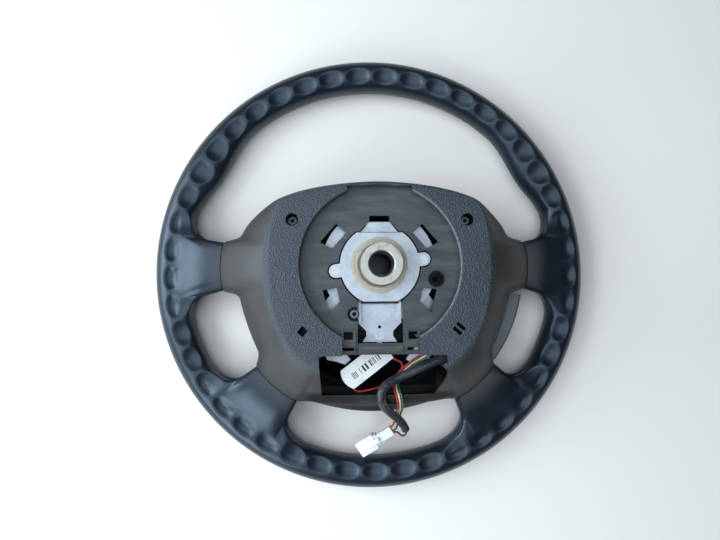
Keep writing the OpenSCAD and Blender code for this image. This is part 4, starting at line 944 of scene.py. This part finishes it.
trim = joined(lofted(trim_rings(0)), [lofted(trim_rings(COVER_T))])
POST_Z, POST_R = 44.5, math.hypot(*SCREW_AT)
post_turn = math.degrees(math.atan2(SCREW_AT[1], SCREW_AT[0]))
wall_r = float(outline_reach(BODY, np.array([post_turn]))[0]) - COVER_T
posts = []
for screw, aim in zip(upper_screws, (post_turn, 180 - post_turn)):
    posts.append(disc(screw, 4.6, POST_Z, WELL_Z - 2.5))
    posts.append(block(POST_R, -5, wall_r - 3, 5, POST_Z, POST_Z + 3, aim))
    posts.append(block(wall_r - 8, -5, wall_r - 3, 5, LIP_Z - 10, LIP_Z + 2, aim))
    posts.append(block(wall_r - 8, -1.2, wall_r + 0.5, 1.2, LIP_Z - 10, LIP_Z - 1, aim))
joined(trim, posts, "UNION")
trim.name = "smooth_trim"
satin = Finish("trim_plastic", (0.028, 0.027, 0.026), 0.45, Specular_IOR_Level=0.25)
scuff = satin.noise(60, 4)
x, y, z = satin.axes()
nx, ny, _ = satin.facing()
# Painted shade: the walls that face inward, and the strip below the window, are painted near-black and made
# metallic, as in shadow.
painted_inner_shade = ((x * nx + y * ny) / satin.away()).step(-0.15, -0.35)
painted_inner_shade = painted_inner_shade.most(y.step(-0.1030, -0.1020) * abs(x).step(0.056, 0.055) * z.step(0.076, 0.074))
outer_tint = satin.mix(scuff.step(0.4, 0.8), (0.011, 0.011, 0.011), (0.020, 0.019, 0.019))
satin.feed("Base Color", satin.mix(painted_inner_shade, outer_tint, (0.008, 0.008, 0.008)))
satin.feed("Metallic", painted_inner_shade)
satin.feed("Roughness", 0.38 + 0.2 * scuff)
satin.bump(satin.noise(1600, 2), 0.12, 0.0002)
settle(trim, satin, "wheel", 28)
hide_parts("front_trim")

# Airbag cover. Soft plastic cushion face on the driver's side, crowned, with a thin turned-in edge and a
# wall round the module. It moves with the module.
PLATE_Z, CAN_MID, FACE_T, SHEET_T = 42, -12, 3, 1.6
CAN_W, CAN_H = 116, 92
PAD_STEPS = 160
pad_dirs = np.arange(PAD_STEPS) * 360 / PAD_STEPS
pad_reach = outline_reach(PAD, pad_dirs)


def pad_points(k, off, height):
    return ring_points(k * pad_reach - off, height, pad_dirs)


def crowned(rows, count):
    """Rings through rows of share of reach, inset and height, smoothed between them."""
    rows = np.array(rows, float)
    at = np.concatenate([[0], np.cumsum(np.linalg.norm(np.diff(rows * (60, 1, 1), axis=0), axis=1))])
    slopes = np.gradient(rows, at, axis=0)
    out = []
    for s in np.linspace(0, at[-1], count):
        i = min(len(at) - 2, int(np.searchsorted(at, s, side="right")) - 1)
        gap = at[i + 1] - at[i]
        t = (s - at[i]) / gap
        out.append((2 * t ** 3 - 3 * t * t + 1) * rows[i] + (t ** 3 - 2 * t * t + t) * gap * slopes[i]
                   + (3 * t * t - 2 * t ** 3) * rows[i + 1] + (t ** 3 - t * t) * gap * slopes[i + 1])
    return out


def rounded_outline(w, h, radius, cy, steps=8):
    quarters = ((1, -1, -90), (1, 1, 0), (-1, 1, 90), (-1, -1, 180))
    return [(px * (w / 2 - radius) + radius * math.cos(math.radians(a + 90 * k / steps)),
             py * (h / 2 - radius) + cy + radius * math.sin(math.radians(a + 90 * k / steps)))
            for px, py, a in quarters for k in range(steps + 1)]


outer_rows = crowned([(0.5, 0, FACE_Z + 0.4), (0.82, 0, FACE_Z + 2), (1, 4, FACE_Z + 5), (1, 1, FACE_Z + 8.5),
                      (1, 0, FACE_Z + 14), (1, 0, PLATE_Z - 2)], 26)
pad = lofted([pad_points(0.25, 0, FACE_Z + 0.05), *[pad_points(*row) for row in outer_rows]])
hollow = lofted([pad_points(0.8, FACE_T, FACE_Z + 2 + FACE_T), pad_points(1, FACE_T + 4, FACE_Z + 5 + FACE_T),
                 pad_points(1, FACE_T, FACE_Z + 9 + FACE_T), pad_points(1, FACE_T, PLATE_Z - 1)])
joined(pad, [hollow])
collar_outline, can_outline = (rounded_outline(CAN_W + more, CAN_H + more, radius, CAN_MID)
                               for more, radius in ((4.6, 12), (0.4, 10.2)))
collar = joined(prism(collar_outline, FACE_Z + 3, PLATE_Z - SHEET_T - 4),
                [prism(can_outline, FACE_Z + 2, 60)])
joined(pad, [collar], "UNION")
pad.name = "soft_cover"
soft = Finish("airbag_plastic", (0.022, 0.022, 0.024), 0.5)
fine = soft.cells(1100)
rub = soft.noise(30, 3)
# Painted shade: surfaces facing up, into the wheel, are painted near-black and made metallic, as in shadow.
painted_back_shade = soft.facing()[2].step(0.3, 0.6)
face_tint = soft.mix(rub.step(0.4, 0.75), (0.020, 0.020, 0.022), (0.032, 0.032, 0.034))
soft.feed("Base Color", soft.mix(painted_back_shade, face_tint, (0.010, 0.010, 0.011)))
soft.feed("Metallic", painted_back_shade)
soft.feed("Roughness", 0.42 + 0.16 * rub + 0.08 * fine)
soft.bump(fine + 0.3 * soft.noise(500, 2), 0.3, 0.0004)
settle(pad, soft, "module", 35)
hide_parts("airbag_cover")

# Module. Pressed and plated sheet housing with the round gas generator, the ring and studs that clamp
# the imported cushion, four nuts, and the generator's plug.
zinc = Finish("zinc_plate", (0.50, 0.50, 0.50), 0.36, 0.85)
spangle = zinc.cells(240, feature="F1")
plated = zinc.mix(zinc.noise(60, 3).step(0.4, 0.7), (0.50, 0.50, 0.51), (0.40, 0.40, 0.39))
# Painted shade: the housing's up-facing surfaces, deep inside the wheel, are painted near-black; they are
# also rougher.
painted_upper_shade = zinc.facing()[2].step(0.4, 0.7)
zinc.feed("Base Color", zinc.mix(painted_upper_shade, plated, (0.035, 0.036, 0.038)))
zinc.feed("Roughness", 0.28 + 0.3 * spangle + 0.2 * painted_upper_shade)
zinc.bump(zinc.noise(800, 2), 0.08, 0.0002)
dress(zinc, "module_housing", "cushion_retainer", "retainer_nuts")
can = Finish("generator_steel", (0.58, 0.56, 0.50), 0.32, 0.9)
can.feed("Roughness", 0.24 + 0.25 * can.noise(120, 4))
bare = can.mix(can.noise(45, 3).step(0.4, 0.75), (0.60, 0.58, 0.52), (0.48, 0.45, 0.38))
# Painted shade: the generator's up-facing surfaces, deep inside the wheel, are painted near-black.
can.feed("Base Color", can.mix(can.facing()[2].step(0.4, 0.7), bare, (0.045, 0.046, 0.050)))
can.bump(can.noise(1000, 2), 0.08, 0.0002)
dress(can, "gas_generator")
dress(one_color("plug_plastic", (0.70, 0.36, 0.02), 0.42, 0.0, (0.36, 0.2, 400), (1800, 0.12, 0.0002)),
      "generator_plug")

# Packed cushion. Woven nylon folded to and fro into the housing, so its edge shows the folds, with a
# round hollow where the generator reaches in.
fabric = Finish("cushion_fabric", (0.74, 0.73, 0.70), 0.8, Sheen_Weight=0.3)
weave = fabric.node("ShaderNodeTexWave", {"bands_direction": "X"}, fabric.place, Scale=900.0)
weft = fabric.node("ShaderNodeTexWave", {"bands_direction": "Y"}, fabric.place, Scale=900.0)
fabric.feed("Base Color", fabric.mix(weave * weft, (0.60, 0.59, 0.56), (0.78, 0.77, 0.74)))
fabric.bump(weave + weft, 0.3, 0.0002)
fold_top = PLATE_Z - SHEET_T - 1.9
FOLDS, FOLD_STEPS, FOLD_HIGH = 7, 56, 16
fold_rings = []
bundle = rounded_outline(CAN_W - 2 * SHEET_T - 2, CAN_H - 2 * SHEET_T - 2, 9, CAN_MID, 10)
for k in range(FOLD_STEPS + 1):
    s = k / FOLD_STEPS
    pulled = 0.8 * abs(math.sin(s * FOLDS * math.pi)) ** 0.5
    shrink = 1 - (1.1 - pulled) * 2 / CAN_W
    fold_rings.append([(px * shrink, CAN_MID + (py - CAN_MID) * shrink, fold_top - FOLD_HIGH * (1 - s))
                       for px, py in bundle])
folded = joined(lofted(fold_rings), [disc((0, CAN_MID), 32.6, fold_top - 10.5, 60, 96)])
folded.name = "folded_fabric"
settle(folded, fabric, "module", 60)
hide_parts("folded_cushion")

# Guide bolts and bushes. Shouldered plated bolts that let the module slide, in nylon bushes pressed
# into the arms.
dress(one_color("bolt_zinc", (0.48, 0.48, 0.47), 0.3, 0.9, (0.25, 0.25, 300), (1500, 0.1, 0.0001)),
      "guide_bolts")
dress(one_color("bush_nylon", (0.66, 0.62, 0.50), 0.45, 0.0, (0.38, 0.2, 500), (1600, 0.1, 0.0001)),
      "bolt_bushes")

# Horn springs. Wound spring wire on the guide bolts, between the module's plate and the arms; pressing
# the horn shortens them.
SPRING_WIRE, SPRING_TURNS, SPRING_R, SEAT_Z, BUSH_T = 1.3, 3.0, 5.6, 56, 1.2
spring_low = PLATE_Z + SPRING_WIRE / 2 + 0.05
spring_high = SEAT_Z - BUSH_T - SPRING_WIRE / 2 - 0.05
guides = [(74, 1), (74, 179), (80, 229), (80, 311)]
SPRING_VALUES = {"Turns": SPRING_TURNS, "Height": (spring_high - spring_low) / 1000,
                 "Coil radius": SPRING_R / 1000, "Wire radius": SPRING_WIRE / 2000}
coil_tree, entry, leave = node_tree("horn_springs", {
    **dict.fromkeys(SPRING_VALUES, "Float"), "Finish": "Material"})
coil = wired(coil_tree, "GeometryNodeCurveSpiral", Resolution=36, Rotations=entry.outputs["Turns"],
             Start_Radius=entry.outputs["Coil radius"], End_Radius=entry.outputs["Coil radius"],
             Height=entry.outputs["Height"])
wire_round = wired(coil_tree, "GeometryNodeCurvePrimitiveCircle", Resolution=12,
                   Radius=entry.outputs["Wire radius"])
body = wired(coil_tree, "GeometryNodeCurveToMesh", Curve=coil.outputs["Curve"],
             Profile_Curve=wire_round.outputs["Curve"], Fill_Caps=True)
spread_out(coil_tree, entry, leave, body.outputs["Mesh"])
wire_steel = one_color("spring_steel", (0.42, 0.42, 0.42), 0.28, 0.95, (0.22, 0.22, 400), (2000, 0.1, 0.0001))
feet = [(g * math.cos(math.radians(a)), g * math.sin(math.radians(a)), spring_low) for g, a in guides]
springs = grown("horn_coils", coil_tree, feet, SPRING_VALUES, wire_steel, None, 60)
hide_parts("horn_springs")
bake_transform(springs)

# Cover screws. Black pan heads with a hexagon socket, sunk in their wells.
SCREW_PLACES = [*[(*screw, WELL_Z) for screw in upper_screws], (*LOW_SCREW, LOW_WELL_Z)]
black_zinc = Finish("screw_black", (0.03, 0.03, 0.032), 0.38, 0.4)
rubbed = black_zinc.noise(900, 3)
# Painted shade: the hexagon sockets are painted black and made fully metallic, so that they stay dark as in
# shadow.
socket = 0.0
for px, py, _ in SCREW_PLACES:
    socket = black_zinc.away(px, py).step(0.0018, 0.0015) + socket
worn_black = black_zinc.mix(rubbed.step(0.45, 0.75), (0.12, 0.125, 0.13), (0.24, 0.245, 0.25))
black_zinc.feed("Base Color", black_zinc.mix(socket, worn_black, (0.008, 0.008, 0.009)))
black_zinc.feed("Metallic", 0.4 + 0.6 * socket)
black_zinc.feed("Roughness", 0.3 + 0.25 * rubbed)
black_zinc.bump(black_zinc.noise(1800, 2), 0.12, 0.0001)
HEAD_SIDES, SOCKET_R = 36, 0.92
shank = [(1.5, -14), (2.0, -13.4), (2.0, 0), (3.75, 0), (3.9, 0.15), (3.9, 1.1), (3.6, 1.85), (3.0, 2.25),
         (1.95, 2.4)]
head_turns = np.arange(HEAD_SIDES) * 2 * math.pi / HEAD_SIDES
sixths = (head_turns + math.pi / 6) % (math.pi / 3) - math.pi / 6
hexagon = SOCKET_R / np.maximum(np.cos(sixths), 0.5)
screw_rings = [(r + 0 * head_turns, z) for r, z in shank] + [(1.75 * hexagon, 2.3), (1.7 * hexagon, 1.0)]
pattern = lofted([ring_points(r, z, np.degrees(head_turns)) for r, z in screw_rings])
screw_tree, entry, leave = node_tree("cover_screws", {
    "Screw": "Object", "Turn": "Float", "Finish": "Material"})
source = wired(screw_tree, "GeometryNodeObjectInfo", Object=entry.outputs["Screw"])
spin = wired(screw_tree, "FunctionNodeRandomValue", {"data_type": "FLOAT"})
LEAST, MOST, SEED = 2, 3, 8
spin.inputs[LEAST].default_value = 0.0
spin.inputs[SEED].default_value = 11
screw_tree.links.new(entry.outputs["Turn"], spin.inputs[MOST])
angles = wired(screw_tree, "ShaderNodeCombineXYZ", Z=spin.outputs[1])
spread_out(screw_tree, entry, leave, source.outputs["Geometry"], Rotation=angles.outputs["Vector"])
screws = grown("pan_screws", screw_tree, SCREW_PLACES, {"Screw": pattern, "Turn": 6.28}, black_zinc, "wheel",
               35)
bpy.data.objects.remove(pattern)
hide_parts("cover_screws")

# Thumb switches. Satin grey housing clipped to the trim on the driver's left, with a rocker on a steel
# pin and two push buttons.
pod_paint = Finish("pod_paint", (0.085, 0.088, 0.092), 0.42)
pod_wear = pod_paint.noise(80, 3)
pod_tint = pod_paint.mix(pod_wear.step(0.4, 0.8), (0.125, 0.140, 0.143), (0.165, 0.178, 0.180))
pod_paint.feed("Base Color", pod_tint)
pod_paint.feed("Roughness", 0.34 + 0.2 * pod_wear)
pod_paint.bump(pod_paint.noise(1800, 2), 0.15, 0.0002)
dress(pod_paint, "switch_pod")
dress(one_color("key_plastic", (0.018, 0.018, 0.020), 0.5, 0.0, (0.4, 0.25, 500), (2200, 0.2, 0.0001)),
      "volume_rocker", "mode_button", "mute_button")
dress(wire_steel, "rocker_pin")

# Floor and light. A plain pale floor under soft light from two large lamps on the left, as from a window
# and a door, and one above, as from the sky.
FLOOR_HALF, LIGHT_COLOR = 3, (0.74, 0.87, 1.0)
floor_corners = [(FLOOR_HALF * a, FLOOR_HALF * b, 0) for a, b in ((-1, -1), (1, -1), (1, 1), (-1, 1))]
floor = meshed("floor", floor_corners, [(0, 1, 2, 3)])
floor.data.materials.append(Finish("floor_paint", (0.80, 0.73, 0.66), 0.9).material)
for lamp_name, place, size, power in (
        ("window", (-1.25, 0.2, 0.80), 1.1, 29), ("door", (-0.85, -0.95, 0.78), 0.9, 17),
        ("sky", (-0.15, 0.05, 1.5), 1.5, 16)):
    lamp_data = bpy.data.lights.new(lamp_name, "AREA")
    lamp_data.size, lamp_data.energy, lamp_data.color = size, power, LIGHT_COLOR
    lamp = placed(lamp_name, lamp_data)
    lamp.location = place
    lamp.rotation_euler = (Vector((0, 0, 0.03)) - Vector(place)).to_track_quat("-Z", "Y").to_euler()
world = bpy.data.worlds.new("world")
bpy.context.scene.world = world
world.use_nodes = True
sky = world.node_tree.nodes["Background"]
sky.inputs["Color"].default_value = (0.9, 0.94, 1.0, 1.0)
sky.inputs["Strength"].default_value = 0.08
bpy.context.scene.view_settings.view_transform = "Standard"
